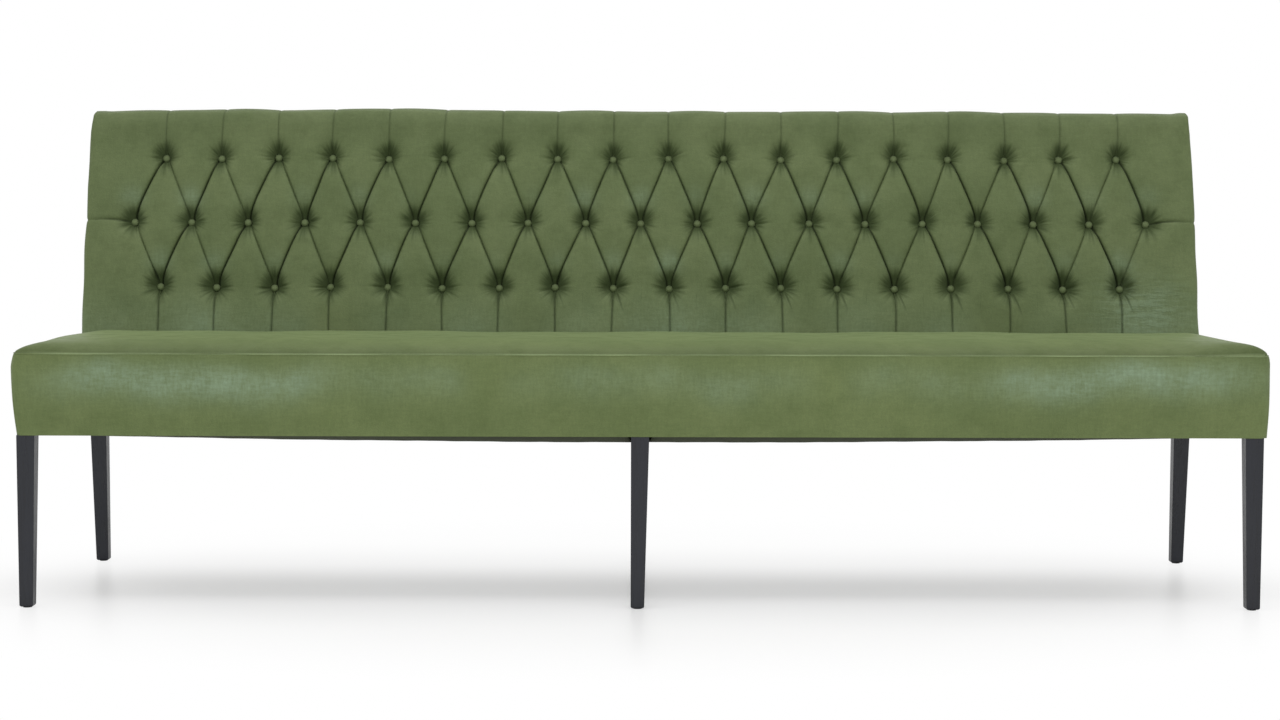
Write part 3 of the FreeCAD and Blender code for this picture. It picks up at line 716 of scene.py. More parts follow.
# %% [markdown]
# ### Wrapping the grid round the back
# The grid operator gives the sheet, and each point is then moved to its place: up the leaning face, over the
# roll, and round the ends, where the leather turns a corner of small radius. Depth is taken off along the
# leather's own outward direction, so a pleat runs on round the corner and notches the outline.


# %% Places on the back
def flare(ups):
    """How far the stuffed ends stand out past the frame, at a height up the back."""
    body = fall(ups, 0.46, 0.12)
    top = rise(ups, 0.46, 0.03) * fall(ups, COVER_LENGTH, 0.05)
    rear = rise(ups, COVER_LENGTH - 0.05, 0.05)
    foot = fall(ups, -0.006, 0.006)
    return 0.004 * body - 0.004 * top + 0.0015 * rear - 0.009 * foot


def drift(x, ups):
    """Small slips of hand work: how far a point has moved along the bench and up the back."""
    inner = fall(abs(x), 1.15, 0.12)
    along = waves(x, (0.0017, 9.1, ups * 7 + 0.4), (0.0013, 23.7, ups * 19))
    upward = waves(x, (0.0011, 14.3, ups * 11 + 2), (0.0008, 37, 1.1))
    lean = np.clip((ups - ROW_UPS[2]) / 0.11, 0, 1.3) * (0.0022 - 0.0018 * x)
    return (along + lean) * inner, upward * inner


def on_plane(x, ups, deep):
    """Points from a place along the bench, a way up the leaning face and a depth behind it."""
    face_y = FACE_Y + ups * math.sin(LEAN) + deep * math.cos(LEAN)
    face_z = SEAM_HEIGHT + ups * math.cos(LEAN) - deep * math.sin(LEAN)
    return np.stack([x, face_y, face_z], axis=-1)


def on_back(x, ups, deep):
    """The same for the cover: where the face ends, the way up goes on over the roll."""
    aim = math.pi - LEAN - (ups - FACE_LENGTH) / ROLL_RADIUS
    climb = rise(math.pi - LEAN - aim, 0, math.pi / 2 - LEAN) * math.pi / 2
    full = ROLL_RADIUS * np.maximum(np.sin(climb), np.cos(climb)) ** -0.2
    roll_y = ROLL_Y + (full - deep) * np.cos(aim)
    roll_z = ROLL_Z + (full - deep) * np.sin(aim)
    on_roll = np.stack([x, roll_y, roll_z], axis=-1)
    return np.where((ups > FACE_LENGTH)[..., None], on_roll, on_plane(x, ups, deep))


def crest(points):
    """How much fuller the roll is stuffed along its top, most of all left of the middle."""
    fuller = 0.0035 + 0.0045 * bell(points[..., 0], -0.62, 0.28)
    inner = fall(abs(points[..., 0]), 1.16, 0.16)
    return fuller * inner * rise(points[..., 2], ROLL_Z, ROLL_RADIUS)


print("the ends stand out by", round(float(flare(row_ups).max()) * 1000, 1), "mm")

# %% Wrap the cover
TURNS = np.linspace(0, math.pi / 2, 8)[1:]
FLARE_START = 1.04
TUCK_IN = (0.0, 0.003)
TUCK_DEEP = (0.004, 0.006)


def turned_end(side, ups, inset):
    """The leather round one end of the back, with a rim tucked in behind the side panel."""
    reach = EDGE_RADIUS - inset
    sharp = rise(ups, FACE_LENGTH - 0.02, 0.04)
    square = np.maximum(np.sin(TURNS), np.cos(TURNS)) ** (-0.92 * sharp)
    x = side * (BACK_HALF + flare(ups) - EDGE_RADIUS + reach * np.sin(TURNS) * square)
    deep = EDGE_RADIUS - reach * np.cos(TURNS) * square
    x = np.hstack([x] + [x[:, -1:] - side * tuck for tuck in TUCK_IN])
    deep = np.hstack([deep] + [deep[:, -1:] + tuck for tuck in TUCK_DEEP])
    return on_back(x, np.broadcast_to(ups, x.shape), deep)


def wrap_cover(x, ups, depth):
    """The flat part in its place, between the two turned ends."""
    ups_2d = np.broadcast_to(ups, x.shape)
    wider = np.sign(x) * flare(ups) * rise(abs(x), FLARE_START, FLAT_END - FLARE_START)
    along, upward = drift(x, ups_2d)
    flat = on_back(x + along + wider, ups_2d + upward, depth)
    flat[..., 2] += crest(flat)
    left = turned_end(-1, ups, depth[:, :1])
    right = turned_end(1, ups, depth[:, -1:])
    return np.concatenate([left[:, ::-1], flat, right], axis=1)


cover_points = wrap_cover(flat_x, row_ups, depth)
print("cover grid", cover_points.shape[:2])


# %% Make the cover's mesh
def grid_mesh(name, points):
    """A grid operator's sheet with each point moved to its place, and the row and column of each."""
    rows, columns = points.shape[:2]
    shape = bmesh.new()
    bmesh.ops.create_grid(shape, x_segments=columns - 1, y_segments=rows - 1, size=1)
    mesh = bpy.data.meshes.new(name)
    shape.to_mesh(mesh)
    shape.free()
    flat = np.empty(len(mesh.vertices) * 3)
    mesh.vertices.foreach_get("co", flat)
    column = np.rint((flat[0::3] + 1) / 2 * (columns - 1)).astype(int)
    row = np.rint((flat[1::3] + 1) / 2 * (rows - 1)).astype(int)
    mesh.vertices.foreach_set("co", points[row, column].ravel())
    mesh.update()
    return mesh, row, column


cover_mesh, cover_row, cover_column = grid_mesh("back_cover", cover_points)
side_columns = (cover_points.shape[1] - flat_x.shape[1]) // 2


def over_cover(numbers):
    """Numbers of the flat part, carried round the ends, for each point of the mesh."""
    wide = np.pad(numbers, ((0, 0), (side_columns, side_columns)), mode="edge")
    return wide[cover_row, cover_column]


print("points on the cover:", len(cover_mesh.vertices))

# %% [markdown]
# The finish now gets its numbers: how much shade to paint round each hollow, the way to the nearest button,
# the painted shade along each pleat and where a sheen is painted on. The painted shade sits above its button,
# because the light comes from above. A number runs from 0 to 1, so the way to a button is kept as a share of a
# span, with 0.5 for none.

# %% Painted shade round the buttons
PATCH_LIFT = np.array([0.0105, 0.0095, 0.0125])
PATCH_WIDE = np.array([0.0340, 0.0300, 0.0255])
PATCH_TALL = np.array([0.0325, 0.0285, 0.0260])
PATCH_DARK = np.array([1.0, 0.97, 0.86])
PATCH_POWER = 2.2
way_up = np.broadcast_to(row_ups, flat_x.shape)
row_of = np.searchsorted(ROW_UPS, centres[..., 1] - 0.001)
off_middle = abs(upward - PATCH_LIFT[row_of] + 0.35 * abs(across))
sideways = (abs(across) / PATCH_WIDE[row_of]) ** PATCH_POWER
patch = np.exp(-sideways - (off_middle / PATCH_TALL[row_of]) ** PATCH_POWER) * PATCH_DARK[row_of]
tail = rise(upward, -0.06, 0.06) * bell(across, 0, 0.021) * fall(upward, 0.004, 0.008)
tuft = np.maximum(patch, tail * rise(way_up, -0.02, 0.05))
seed = np.random.default_rng(3).uniform(0, 1, len(button_places))[number]
print("share of the cover in dark patches:", round(float((tuft > 0.5).mean()), 3))

# %% Painted sheen, wrinkles and drag lines
# Where a sheen is painted on the back: low down, and just above the lower two rows of buttons, where light
# glances off the rising leather.
cool = 0.35 * bell(way_up, 0.02, 0.07)
for up, count in zip(ROW_UPS[:2], ROW_COUNTS[:2]):
    beside = flat_x - place_of(nearest_column(flat_x, count), count)
    cool = cool + 0.42 * bell(way_up, up + 0.052, 0.026) * bell(beside, 0, 0.026)
cool = cool * (0.55 + waves(flat_x, (0.3, 5.3, 1), (0.25, 12.7, way_up * 9), (0.2, 31, 0)))
low_right = bell(flat_x, 1.08, 0.09) * bell(way_up, 0.075, 0.06)
# Where shade is painted along the drag lines: below the bottom row, from just left of the middle to the right
# end.
drag_shade_mask = rise(flat_x, -0.35, 0.3) * (way_up < ROW_UPS[0])
drag_shade_mask = drag_shade_mask * rise(-upward, 0.008, 0.012) * fall(-upward, 0.055 + 0.02 * (seed - 0.5), 0.03)
print("strongest bloom:", round(float(cool.max()), 2))

# %% Paint the cover and hand it over
WAY_SPAN = 0.2
layers = {
    # Painted shade over the top of the back and the roll.
    "hollow": 0.14 * rise(way_up, 0.425, 0.06),
    "tuft": tuft,
    "seed": seed,
    "across": across / WAY_SPAN + 0.5,
    "upward": upward / WAY_SPAN + 0.5,
    "pleat": pleat_shade_line,
    "painted_sheen": cool * (1 - tuft) + 0.25 * low_right,
    "wrinkle": low_right,
    "drag": drag_shade_mask,
}
for name, numbers in layers.items():
    paint(cover_mesh, name, over_cover(numbers))
print("layers on the cover:", ", ".join(layers))
cover = hand_over("back_buttoned_leather", cover_mesh, back_leather,
                  ("back_buttoned_cover", "back_roll_cover", "back_foam", "back_top_pad"))

# %% [markdown]
# ### Buttons
# A covered button is a shallow metal dome with leather gathered over it. It is narrower than its hollow, so
# a dark ring shows round it, and shade is painted on its rim and its upper half. The sphere operator makes
# one dome, which is flattened and then turned to face outwards at each place, sunk to just above the
# leather's lowest point.

# %% Make the buttons
BUTTON_RADIUS = 0.0082
BUTTON_SINK = 0.0235


def make_buttons():
    """All the buttons in one mesh, each turned and tipped a little differently."""
    shape = bmesh.new()
    edge = shape.verts.layers.float.new("hollow")
    facing = Matrix.Rotation(math.pi / 2 - LEAN, 4, "X")
    for count, (x, up) in enumerate(button_places):
        made = bmesh.ops.create_uvsphere(shape, u_segments=20, v_segments=12, radius=BUTTON_RADIUS)
        spin = Matrix.Rotation(count * 1.7, 4, "Z")
        for vert in made["verts"]:
            rim = math.hypot(vert.co.x, vert.co.y) / BUTTON_RADIUS
            upper = max((spin @ vert.co).y / BUTTON_RADIUS, 0)
            vert.co.z *= 0.55 if vert.co.z > 0 else 0.4
            vert.co.z -= 0.0012 * rim ** 4
            # Painted shade on each button: some all over, more at its rim and on its upper half, which its
            # hollow shades from the light above.
            vert[edge] = 0.13 + 0.45 * rim ** 5 + 0.4 * upper
        tip = Matrix.Rotation(0.05 * math.sin(count * 2.3), 4, "X")
        along, upward = drift(np.array(x), np.array(up))
        sunk = on_back(np.array(x + along), np.array(up + upward), np.array(BUTTON_SINK))
        place = Matrix.Translation(Vector(sunk.tolist()))
        bmesh.ops.transform(shape, matrix=place @ facing @ tip @ spin, verts=made["verts"])
    return to_mesh(shape, "buttons")


button_mesh = make_buttons()
# Painted light over the whole of each button, for the highlight on its dome.
paint(button_mesh, "painted_light", np.full(len(button_mesh.vertices), 0.22))
hand_over("tuft_buttons_leather", button_mesh, back_leather, ("tuft_buttons",))

# %% [markdown]
# ## The rear and the sides of the back
# The rear is one flat hide, sewn to the cover along the roll and turned in at the ends. The sides are narrow
# padded panels. All are grids. Their edges dive under their neighbours, so that each seam is a closed groove
# and no wood shows, and a crown of a few millimetres makes each panel read as padded and not as a plate.

# %% Rear panel
REAR_FOOT = 0.0085
REAR_TOP = FACE_LENGTH + 0.0025
REAR_ROUND = 0.006
REAR_CROWN = 0.0022


def rear_flare(ups):
    """How far the rear hide stands out past the frame at its ends."""
    return 0.004 * fall(ups, 0.4, 0.12)


def make_rear():
    """The leather over the back of the back, slightly crowned."""
    lower_ups = np.linspace(REAR_FOOT, 0.45, 44)[:-1]
    ups = np.concatenate([lower_ups, np.linspace(0.45, REAR_TOP, 16)])[:, None]
    share = np.linspace(-1, 1, 241)
    share = np.sign(share) * (1 - (1 - abs(share)) ** 1.5)
    x = share * (BACK_HALF + rear_flare(ups) + 0.001)
    round_x = edge_fall((1 - abs(share))[None, :] * BACK_HALF, REAR_ROUND)
    round_up = edge_fall(REAR_TOP - ups, REAR_ROUND)
    swell = waves(x, (0.0004, 9, 1), (0.0004, 23, ups * 14), (0.0004, 5, ups * 31))
    sunk = 0.011 * round_x + 0.0065 * round_up + swell - REAR_CROWN
    x = np.hstack([x[:, :1] + 0.004, x, x[:, -1:] - 0.004])
    sunk = np.hstack([sunk[:, :1] + 0.002, sunk, sunk[:, -1:] + 0.002])
    points = on_plane(x, np.broadcast_to(ups, x.shape), BACK_THICKNESS - sunk)
    mesh, row, column = grid_mesh("rear", points[:, ::-1])
    # Painted shade along the rounded edges, where the rear turns into its seams.
    groove = np.pad(np.maximum(round_x, round_up) ** 2 * 0.5, ((0, 0), (1, 1)), mode="edge")[:, ::-1]
    paint(mesh, "hollow", groove[row, column])
    return mesh


hand_over("back_rear_leather", make_rear(), back_leather, ("back_rear_panel",))

# %% Side panels
FRONT_RIM = EDGE_RADIUS + 0.003
REAR_RIM = BACK_THICKNESS - 0.0078
GROOVE_SHARE = 0.24
SIDE_SHARES = np.array([0, 0.05, 0.1, 0.16, GROOVE_SHARE, 0.36, 0.5, 0.7, 1.0])


def make_side(side, edge_depth):
    """A padded panel that fills the back's end, from its outline in to a middle line."""
    front_ups = np.linspace(-OVERLAP, FACE_LENGTH, 70)
    arch_ups = np.linspace(FACE_LENGTH, COVER_LENGTH, 34)[1:-1]
    rear_ups = np.linspace(FACE_LENGTH, -0.004, 60)
    ups = np.concatenate([front_ups, arch_ups, rear_ups])
    low_ups = np.minimum(ups, FACE_LENGTH)
    order = np.arange(len(ups))
    on_rear = order >= len(front_ups) + len(arch_ups)
    on_arch = (order >= len(front_ups)) & ~on_rear
    rim = on_back(np.zeros_like(ups), ups, np.where(on_rear, REAR_RIM, FRONT_RIM))
    spine = on_back(np.zeros_like(ups), low_ups, np.full_like(ups, BACK_THICKNESS / 2))
    spine[on_arch] = (0.0, ROLL_Y, ROLL_Z)
    cover_x = flare(ups) - np.interp(ups, row_ups[:, 0], edge_depth)
    rim_x = np.where(on_rear, rear_flare(ups) + 0.0003, cover_x)[:, None]
    spine_x = (flare(low_ups) + rear_flare(low_ups))[:, None] / 2 - 0.0003
    tuck = np.where(on_rear, 0.0008, 0.0028)[:, None] * fall(SIDE_SHARES, GROOVE_SHARE, GROOVE_SHARE) ** 2
    points = rim[:, None, :] + (spine - rim)[:, None, :] * SIDE_SHARES[None, :, None]
    foot = 0.01 * fall(points[:, :, 2], SEAM_HEIGHT - 0.006, 0.006)
    points[:, :, 0] = side * (BACK_HALF + rim_x * (1 - SIDE_SHARES) + spine_x * SIDE_SHARES - tuck - foot)
    mesh, _, column = grid_mesh("side_panel", points)
    if side * sum(face.normal.x for face in mesh.polygons) < 0:
        mesh.flip_normals()
    # Painted shade along the panel's outline, where it tucks under the cover and the rear.
    paint(mesh, "hollow", 0.5 * fall(SIDE_SHARES, 0.1, 0.1)[column])
    return mesh


for side, word, edge_depth in ((-1, "left", depth[:, 0]), (1, "right", depth[:, -1])):
    panel = make_side(side, edge_depth)
    hand_over(f"back_side_leather_{word}", panel, back_leather, (f"back_side_panel_{word}",))

# %% [markdown]
# ## The seat
# The seat is a boxed cushion: a crowned top sewn to an upright border, with a thin welt in the seam. The top
# is a grid whose points rise with their distance from the seam. Its rim is then extruded ring by ring: over
# the welt, down the swelling border and under the rail. Each point of the rim remembers its place and its
# outward direction in four layers, which extruding copies, so every ring is set from the same numbers.

# %% Seat sizes
CROWN = 0.024
BULGE = 0.008
CORNER = 0.014
RIM = 0.0044
END_ROUND = 0.003
CUSHION_REAR = FACE_Y - 0.0003
TOP_EDGE = SEAM_HEIGHT + 0.0006
BORDER = SEAM_HEIGHT - LEG_HEIGHT
seat_half = HALF_LENGTH - RIM - END_ROUND
seat_low = FRONT + RIM
seat_high = BOX_REAR - RIM
seat_middle = (seat_low + seat_high) / 2
core_x = seat_half - CORNER
core_y = (seat_high - seat_low) / 2 - CORNER
print("seat box from y", round(seat_low, 4), "to", round(seat_high, 4))


# %% Crowned top
def spaced(low, high, count, pull):
    """Places between two ends, closer together near both."""
    bent = np.tanh(np.linspace(-1, 1, count) * pull) / math.tanh(pull)
    return low + (bent + 1) / 2 * (high - low)


def round_corners(x, y):
    """Draws the square corners of the grid in to round ones."""
    off = y - seat_middle
    over_x = np.maximum(abs(x) - core_x, 0)
    over_y = np.maximum(abs(off) - core_y, 0)
    reach = np.hypot(over_x, over_y)
    share = np.where(reach > 1e-9, np.maximum(over_x, over_y) / np.maximum(reach, 1e-9), 1.0)
    new_x = np.sign(x) * (np.minimum(abs(x), core_x) + over_x * share)
    return new_x, seat_middle + np.sign(off) * (np.minimum(abs(off), core_y) + over_y * share)


def crown_rise(x, y):
    """Height of the top above the seam. The left end is rounder than the right."""
    from_front = np.clip(y - seat_low, 0, None)
    from_rear = np.clip(CUSHION_REAR - y, 0, None)
    from_end = np.clip(seat_half - abs(x), 0, None)
    front = 1 - np.exp(-from_front / (0.034 - 0.027 * rise(abs(x), 1.0, 0.17)))
    back = 1 - np.exp(-from_rear / 0.02)
    left_width = 0.08 + 0.05 * np.exp(-from_front / 0.05) - 0.03 * bell(from_front, 0.22, 0.08)
    end = 1 - edge_fall(from_end, np.where(x > 0, 0.05, left_width))
    dips = waves(x, (0.0009, 11, 2 * np.sin(y * 7)), (0.0007, 27, y * 13), (0.0005, 5, -y * 21))
    return (CROWN + dips) * front * back * end


def seat_top():
    """The grid of the top, with a flat strip behind the cushion, under the back."""
    x_places = spaced(-seat_half, seat_half, 261, 1.7)
    y_front = spaced(seat_low, CUSHION_REAR, 61, 1.3)
    y_rear = np.linspace(CUSHION_REAR, seat_high, 12)[1:]
    x, y = round_corners(*np.meshgrid(x_places, np.concatenate([y_front, y_rear])))
    return grid_mesh("seat", np.stack([x, y, TOP_EDGE + crown_rise(x, y)], axis=-1))[0]


top_mesh = seat_top()
print("top grid", len(top_mesh.vertices), "points")

# %% [markdown]
# The rings of the border follow a list of outward steps and heights. The welt is a bead of seven short
# rings. The border then swells to its fullest about seven tenths of the way up and draws in again towards
# the rail, and its lower edge turns under.

# %% Rings of the border
BEAD = 0.0012
BEAD_ANGLES = (150, 105, 60, 20, -20, -60, -100)
FULLEST = 0.72
TOP_DRAW = 0.0024
TURNED_UNDER = ((-0.0035, -0.0006), (-0.006, -0.0008), (-0.02, 0.0002))


def border_rings():
    """Outward distance from the rim of the top, and height, of each ring."""
    rings = []
    for aim in map(math.radians, BEAD_ANGLES):
        rings.append((RIM - 2 * BEAD + BEAD * math.cos(aim), SEAM_HEIGHT + BEAD * math.sin(aim)))
    for share in np.linspace(0.985, 0, 26):
        if share < FULLEST:
            inset = BULGE * (1 - share / FULLEST) ** 2
        else:
            inset = TOP_DRAW * ((share - FULLEST) / (1 - FULLEST)) ** 2
        rings.append((RIM - inset, LEG_HEIGHT + share * BORDER))
    return rings + [(out, LEG_HEIGHT + lift) for out, lift in TURNED_UNDER]


def outward(x, y):
    """Outward direction of the rim at a point."""
    over = Vector((max(abs(x) - core_x, 0), max(abs(y - seat_middle) - core_y, 0)))
    over.normalize()
    return math.copysign(over.x, x), math.copysign(over.y, y - seat_middle)


def clamp(share):
    return min(max(share, 0), 1)


def end_inset(height, is_left):
    """How far an end draws in at a share of the border's height."""
    if is_left:
        return 0.006 * clamp((height - 0.82) / 0.18) ** 1.6 + 0.009 * clamp(1 - height / 0.84) ** 1.3
    return 0.0025 * clamp((height - 0.9) / 0.1) ** 1.5 + 0.0025 * clamp(1 - height) ** 1.2


def ring_point(x, y, nx, ny, out, z):
    """A ring's point, from its place on the rim, its outward direction and the ring's two numbers."""
    along = x if abs(ny) > abs(nx) else y
    height = (z - LEG_HEIGHT) / BORDER
    end_out = out - 0.0012
    if -0.001 < height < 0.99:
        end_out = RIM + END_ROUND * (x < 0) - end_inset(height, x < 0)
    swell = waves(along, (0.0011, 17, height * 3), (0.0008, 41, 1.3))
    puff = out * ny * ny + end_out * nx * nx + swell * max(0.0, math.sin(math.pi * clamp(height)))
    lift = waves(along, (0.0006, 13, 0), (0.0004, 37, 0))
    return x + nx * puff, y + ny * puff, z + lift * clamp(height) ** 3


print("rings:", len(border_rings()))


# %% Extrude the border
def seat_shape():
    """The top with its border, closed underneath."""
    shape = bmesh.new()
    shape.from_mesh(top_mesh)
    layers = [shape.verts.layers.float.new(name) for name in ("rim_x", "rim_y", "out_x", "out_y")]
    rim = [edge for edge in shape.edges if edge.is_boundary]
    for vert in {vert for edge in rim for vert in edge.verts}:
        vert.co.z = TOP_EDGE
        for layer, kept in zip(layers, (vert.co.x, vert.co.y, *outward(vert.co.x, vert.co.y))):
            vert[layer] = kept
    for out, z in border_rings():
        made = bmesh.ops.extrude_edge_only(shape, edges=rim)
        rim = [item for item in made["geom"] if isinstance(item, bmesh.types.BMEdge)]
        for vert in {vert for edge in rim for vert in edge.verts}:
            vert.co = ring_point(*(vert[layer] for layer in layers), out, z)
    bmesh.ops.contextual_create(shape, geom=rim)
    for vert in shape.verts:
        vert.co.x += END_ROUND * max((vert.co.x - 1.0) / 0.19, 0) ** 2
    return to_mesh(shape, "seat")


seat_mesh = seat_shape()
bpy.data.meshes.remove(top_mesh)
print("seat", len(seat_mesh.vertices), "points")

# %% [markdown]
# The seat's finish gets its numbers too: a sheen is painted in clouds along the upper border, a painted
# highlight runs along the welt, painted light brightens the top towards the back, and painted shade darkens
# the top's front edge.

# %% Numbers for the seat's finish
places = np.empty(len(seat_mesh.vertices) * 3)
seat_mesh.vertices.foreach_get("co", places)
seat_x, seat_y, seat_z = places.reshape(-1, 3).T
share_up = (seat_z - LEG_HEIGHT) / BORDER
outside = (seat_y < seat_low + 0.001) | (abs(seat_x) > seat_half - 0.001) | (seat_y > seat_high - 0.001)
# Where the sheen is painted on the seat: along the front border, strongest towards both ends.
clouds = 0.25 + 1.05 * bell(seat_x, -0.9, 0.2) + 0.75 * bell(seat_x, 0.94, 0.22)
clouds += waves(seat_x, (0.12, 9, 1), (0.1, 21, 4), (0.06, 47, 0))
clouds *= rise(seat_x, -1.2, 0.12) * np.where(seat_y < seat_low + 0.02, 1.0, 0.08)
middle = 0.69 + 0.09 * rise(seat_x, 0.85, 0.3) + waves(seat_x, (0.04, 13, 2), (0.03, 29, 0))
width = np.where(share_up > middle, 0.17, 0.23)
near_seam = bell(seat_z, SEAM_HEIGHT, 0.0011) * outside
# A painted highlight along the welt, and painted light on the top towards the back.
seam_highlight = near_seam * np.clip((seat_x + 1.175) / 0.06, 0.15, 1) * 1.12
top_painted_light = 0.4 * (seat_z > SEAM_HEIGHT + 0.012) * rise(seat_y, -0.28, 0.22)
# Painted shade on the top's front edge, just above the seam.
shade_above_seam = np.exp(-(seat_y - seat_low) / 0.028) * (seat_z > SEAM_HEIGHT + 0.0005)
paint(seat_mesh, "painted_sheen", outside * bell(share_up, middle, width) * clouds)
paint(seat_mesh, "painted_light", seam_highlight + top_painted_light)
paint(seat_mesh, "hollow", shade_above_seam * 0.5)
seat = hand_over("seat_cushion_leather", seat_mesh, seat_leather,
                 ("seat_top_panel", "seat_topper", "seat_foam_core", "seat_border_panel",
                  "seat_border_padding"))

# %% [markdown]
# ## The dust cover
# A black cloth is stapled under the rails to keep the dust out of the straps. It isn't stretched hard, so
# its front edge hangs a few millimetres below the leather and shows as an uneven dark line. A grid is sagged
# with an arch along the bench and gets small ripples towards its free edges. Between the legs a strip in
# front rises to the leather's edge.

# %% Hang the dust cover
LEG_PLACES = np.array([-1.173, 0.0, 1.173])
LEG_CLEAR = 0.0195
STRIP_DEEP = 0.02
STRIP_LAID = 0.024


def hang_dust_cover():
    """The sagging cloth, and its size laid flat."""
    low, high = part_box("dust_cover")
    reach = (high[0] - low[0]) / 2
    sag = LEG_HEIGHT - low[2] - 0.0015
    x_places = np.linspace(-reach, reach, 301)
    by_leg = np.min(abs(x_places[:, None] - LEG_PLACES[None, :]), axis=1)
    tuck = STRIP_DEEP * rise(by_leg, LEG_CLEAR, 0.003)
    share = np.concatenate([np.linspace(0, 1, 9)[:-1], np.linspace(1, 9, 41)])[:, None]
    x = np.broadcast_to(x_places, (len(share), len(x_places)))
    behind = (share - 1) / 8 * (high[1] - low[1])
    y = low[1] + np.where(share < 1, (share - 1) * tuck, behind)
    hung = np.where(share < 1, np.sin(share * math.pi / 2) * (tuck > 0) + (tuck == 0), 1.0)
    drop = sag * (1 - (x / reach) ** 2) * hung
    edge = np.exp(-abs(y - low[1]) / 0.05) + np.exp(-(high[1] - y) / 0.05)
    ripple = waves(x, (0.0002, 58, 0), (0.0001, 131, 1), (0.0003, 13, y * 40))
    z = LEG_HEIGHT - 0.001 - drop + ripple * edge * rise(drop, 0, 0.006)
    mesh = grid_mesh("dust_cover", np.stack([x, y, z], axis=-1))[0]
    mesh.flip_normals()
    return mesh, (2 * reach, high[1] - low[1] + STRIP_LAID)


dust_mesh, dust_size = hang_dust_cover()
dust_cover = hand_over("dust_cover_cloth", dust_mesh, black_cloth, ("dust_cover",))

# %% [markdown]
# ## Legs
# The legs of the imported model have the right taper, but dead sharp edges, and real edges catch the light. So
# each leg is copied, its loose triangles are merged and its flat faces joined again, and its sharp edges get
# a small bevel.

# %% Bevel the legs
LEG_BEVEL = 0.0012


def soften(name, width):
    """A copy of a node with its edges bevelled."""
    shape = bmesh.new()
    shape.from_mesh(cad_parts[name].data)
    bmesh.ops.remove_doubles(shape, verts=shape.verts, dist=0.00002)
    bmesh.ops.dissolve_limit(shape, angle_limit=0.02, verts=shape.verts, edges=shape.edges)
    sharp = [edge for edge in shape.edges if len(edge.link_faces) == 2 and edge.calc_face_angle() > 0.3]
    bmesh.ops.bevel(shape, geom=sharp, offset=width, offset_type="OFFSET", affect="EDGES", segments=3,
                    profile=0.5, material=-1, clamp_overlap=True)
    return to_mesh(shape, name)


for name in sorted(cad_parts):
    if name.startswith("leg_"):
        leg = soften(name, LEG_BEVEL)
        hand_over(f"{name}_stained", leg, leg_stain, (name,), smooth=False)

# %% [markdown]
# ## Frame, boards, webbing and glides
# These nodes already have the right shape, so they stay and only take their finish. Grain follows the length
# of each board.

# %% Finish the other nodes
node_finish = (
    (beech_along, ("seat_front_rail", "seat_rear_rail", "back_top_rail", "back_lower_rails")),
    (beech_across, ("seat_side_rail_left", "seat_side_rail_right", "seat_cross_rail_left",
                    "seat_cross_rail_centre", "seat_cross_rail_right", "corner_blocks")),
    (beech_upright, ("back_post_left", "back_post_right", "back_post_inner_left", "back_post_inner_right")),
    (birch_board, ("tufting_board", "rear_lining_board")),
    (webbing, ("seat_webbing",)),
    (glide_plastic, ("foot_glides",)),
)
for material, names in node_finish:
    for name in names:
        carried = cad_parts[name].data.materials
        carried.clear()
        carried.append(material)
print("carried over:", sum(len(names) for _, names in node_finish))

# %% [markdown]
# ## Floor, light and camera
# The bench stands on a white floor under a wide, soft light from above and in front. The world is a plain
# pale grey for the light and plain white for the camera and for reflections. The floor glows white to the
# camera away from the bench, and less so round it, where shadows lie. The camera has the photograph's place:
# a little above the seat, level with the middle of the bench.

# %% Floor
WHITE = (1.0, 1.0, 1.0, 1.0)


def make_floor():
    """A wide floor whose glow leaves room for the bench's shadow."""
    shape = bmesh.new()
    bmesh.ops.create_grid(shape, x_segments=1, y_segments=1, size=30)
    mesh = to_mesh(shape, "floor")
    floor = bpy.data.objects.new("floor", mesh)
    bpy.context.scene.collection.objects.link(floor)
    paper = Finish("white_floor")
    cloud = paper.noise(3.0, 2.0)
    mesh.materials.append(paper.feed(Base_Color=tone(250, 250, 250), Roughness=0.3 + cloud * 0.05))
    squeezed = {0: paper.spot((0.55, 1.0, 1.0))}
    away = paper.add("ShaderNodeVectorMath", {"operation": "LENGTH"}, squeezed, out="Value")
    seen = paper.add("ShaderNodeLightPath", out="Is Camera Ray")
    glow = paper.add("ShaderNodeEmission", {}, {"Color": WHITE, "Strength": 1.0})
    place = paper.add("ShaderNodeSeparateXYZ", {}, {0: paper.spot()}, out="Y")
    far = away.between(0.5, 0.95)
    near = 0.28 + place.between(-0.09, 0.2) * 0.45 + place.between(0.1, 0.5) * 0.22
    near = near + place.between(-0.15, -0.28) * 0.17
    share = seen * (near + far - near * far)
    lit = Wire(paper, paper.shader.outputs[0])
    blend = paper.add("ShaderNodeMixShader", {}, {0: share, 1: lit, 2: glow})
    paper.put(paper.nodes["Material Output"].inputs["Surface"], blend)
    return floor


print("floor:", make_floor().name)

# %% World and lamps
AMBIENT = 0.74


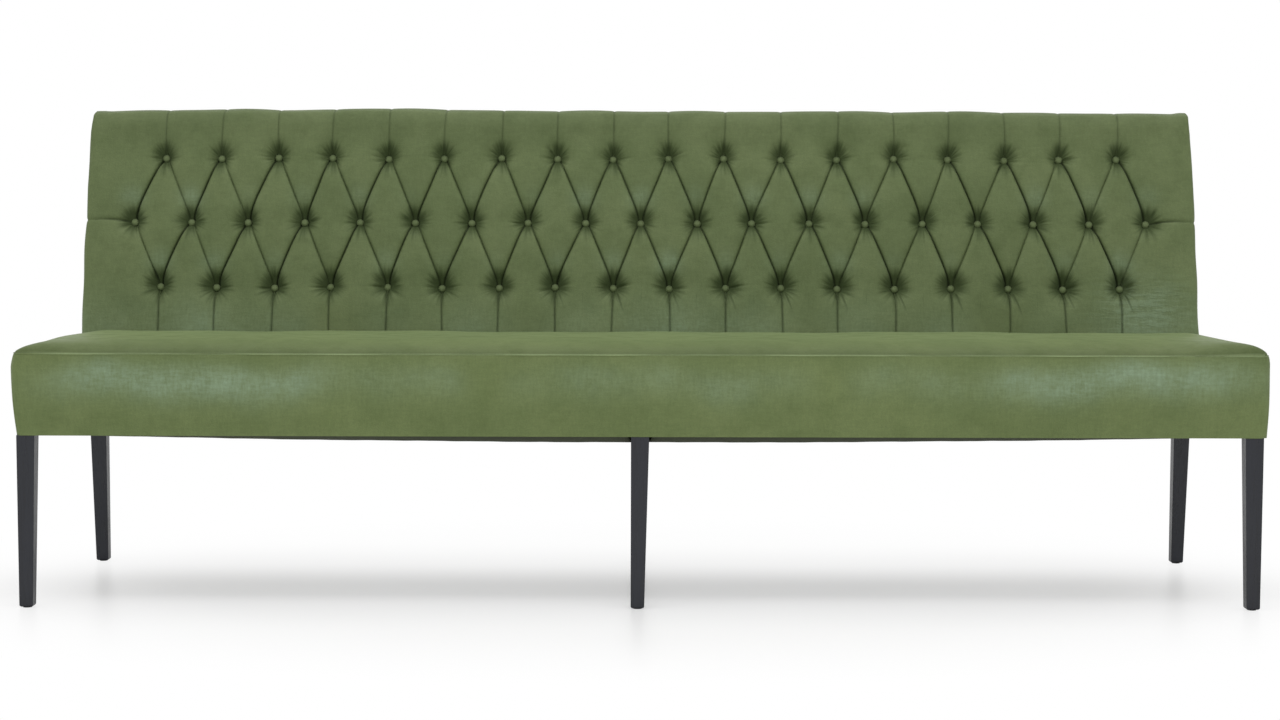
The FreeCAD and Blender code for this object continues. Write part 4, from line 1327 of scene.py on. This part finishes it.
def make_world():
    """White where it is seen or mirrored, and a little dimmer as a light."""
    world = bpy.data.worlds.new("studio")
    bpy.context.scene.world = world
    world.use_nodes = True
    studio = Graph(world.node_tree)
    seen = studio.add("ShaderNodeLightPath", out="Is Camera Ray")
    mirrored = studio.add("ShaderNodeLightPath", out="Is Glossy Ray")
    either = seen.sum("MAXIMUM", seen, mirrored)
    level = studio.add("ShaderNodeMapRange", {}, {0: either, "To Min": AMBIENT, "To Max": 1.0})
    studio.put(studio.nodes["Background"].inputs["Strength"], level)
    studio.put(studio.nodes["Background"].inputs["Color"], WHITE)


def make_lamp(name, place, target, size, power):
    """A soft rectangle of light that faces a target."""
    lamp = bpy.data.lights.new(name, "AREA")
    lamp.shape = "RECTANGLE"
    lamp.size, lamp.size_y = size
    lamp.energy = power
    item = bpy.data.objects.new(name, lamp)
    item.location = place
    item.rotation_euler = (Vector(target) - Vector(place)).to_track_quat("-Z", "Y").to_euler()
    bpy.context.scene.collection.objects.link(item)


make_world()
make_lamp("top_light", (0.0, -0.4, 3.2), (0.0, 0.0, 0.4), (4.5, 2.2), 44)
make_lamp("front_light", (0.0, -4.2, 1.9), (0.0, 0.0, 0.55), (4.0, 1.6), 15)
bpy.context.scene.view_settings.view_transform = "Standard"
print("lamps:", len(bpy.data.lights))

# %% Camera
LENS = 54.0
CAMERA_PLACE = (-0.0006, -3.9624, 0.7222)
CAMERA_DIP = 0.0665
CAMERA_ROLL = 0.0025


def make_camera():
    """The photograph's camera: it dips a little and hardly rolls."""
    camera = bpy.data.cameras.new("camera")
    camera.lens = LENS
    camera.sensor_width = 36.0
    item = bpy.data.objects.new("camera", camera)
    tilt = Matrix.Rotation(math.pi / 2 - CAMERA_DIP, 4, "X")
    roll = Matrix.Rotation(CAMERA_ROLL, 4, "Z")
    item.matrix_world = Matrix.Translation(CAMERA_PLACE) @ tilt @ roll
    bpy.context.scene.collection.objects.link(item)
    bpy.context.scene.camera = item


make_camera()
print("camera at", CAMERA_PLACE)
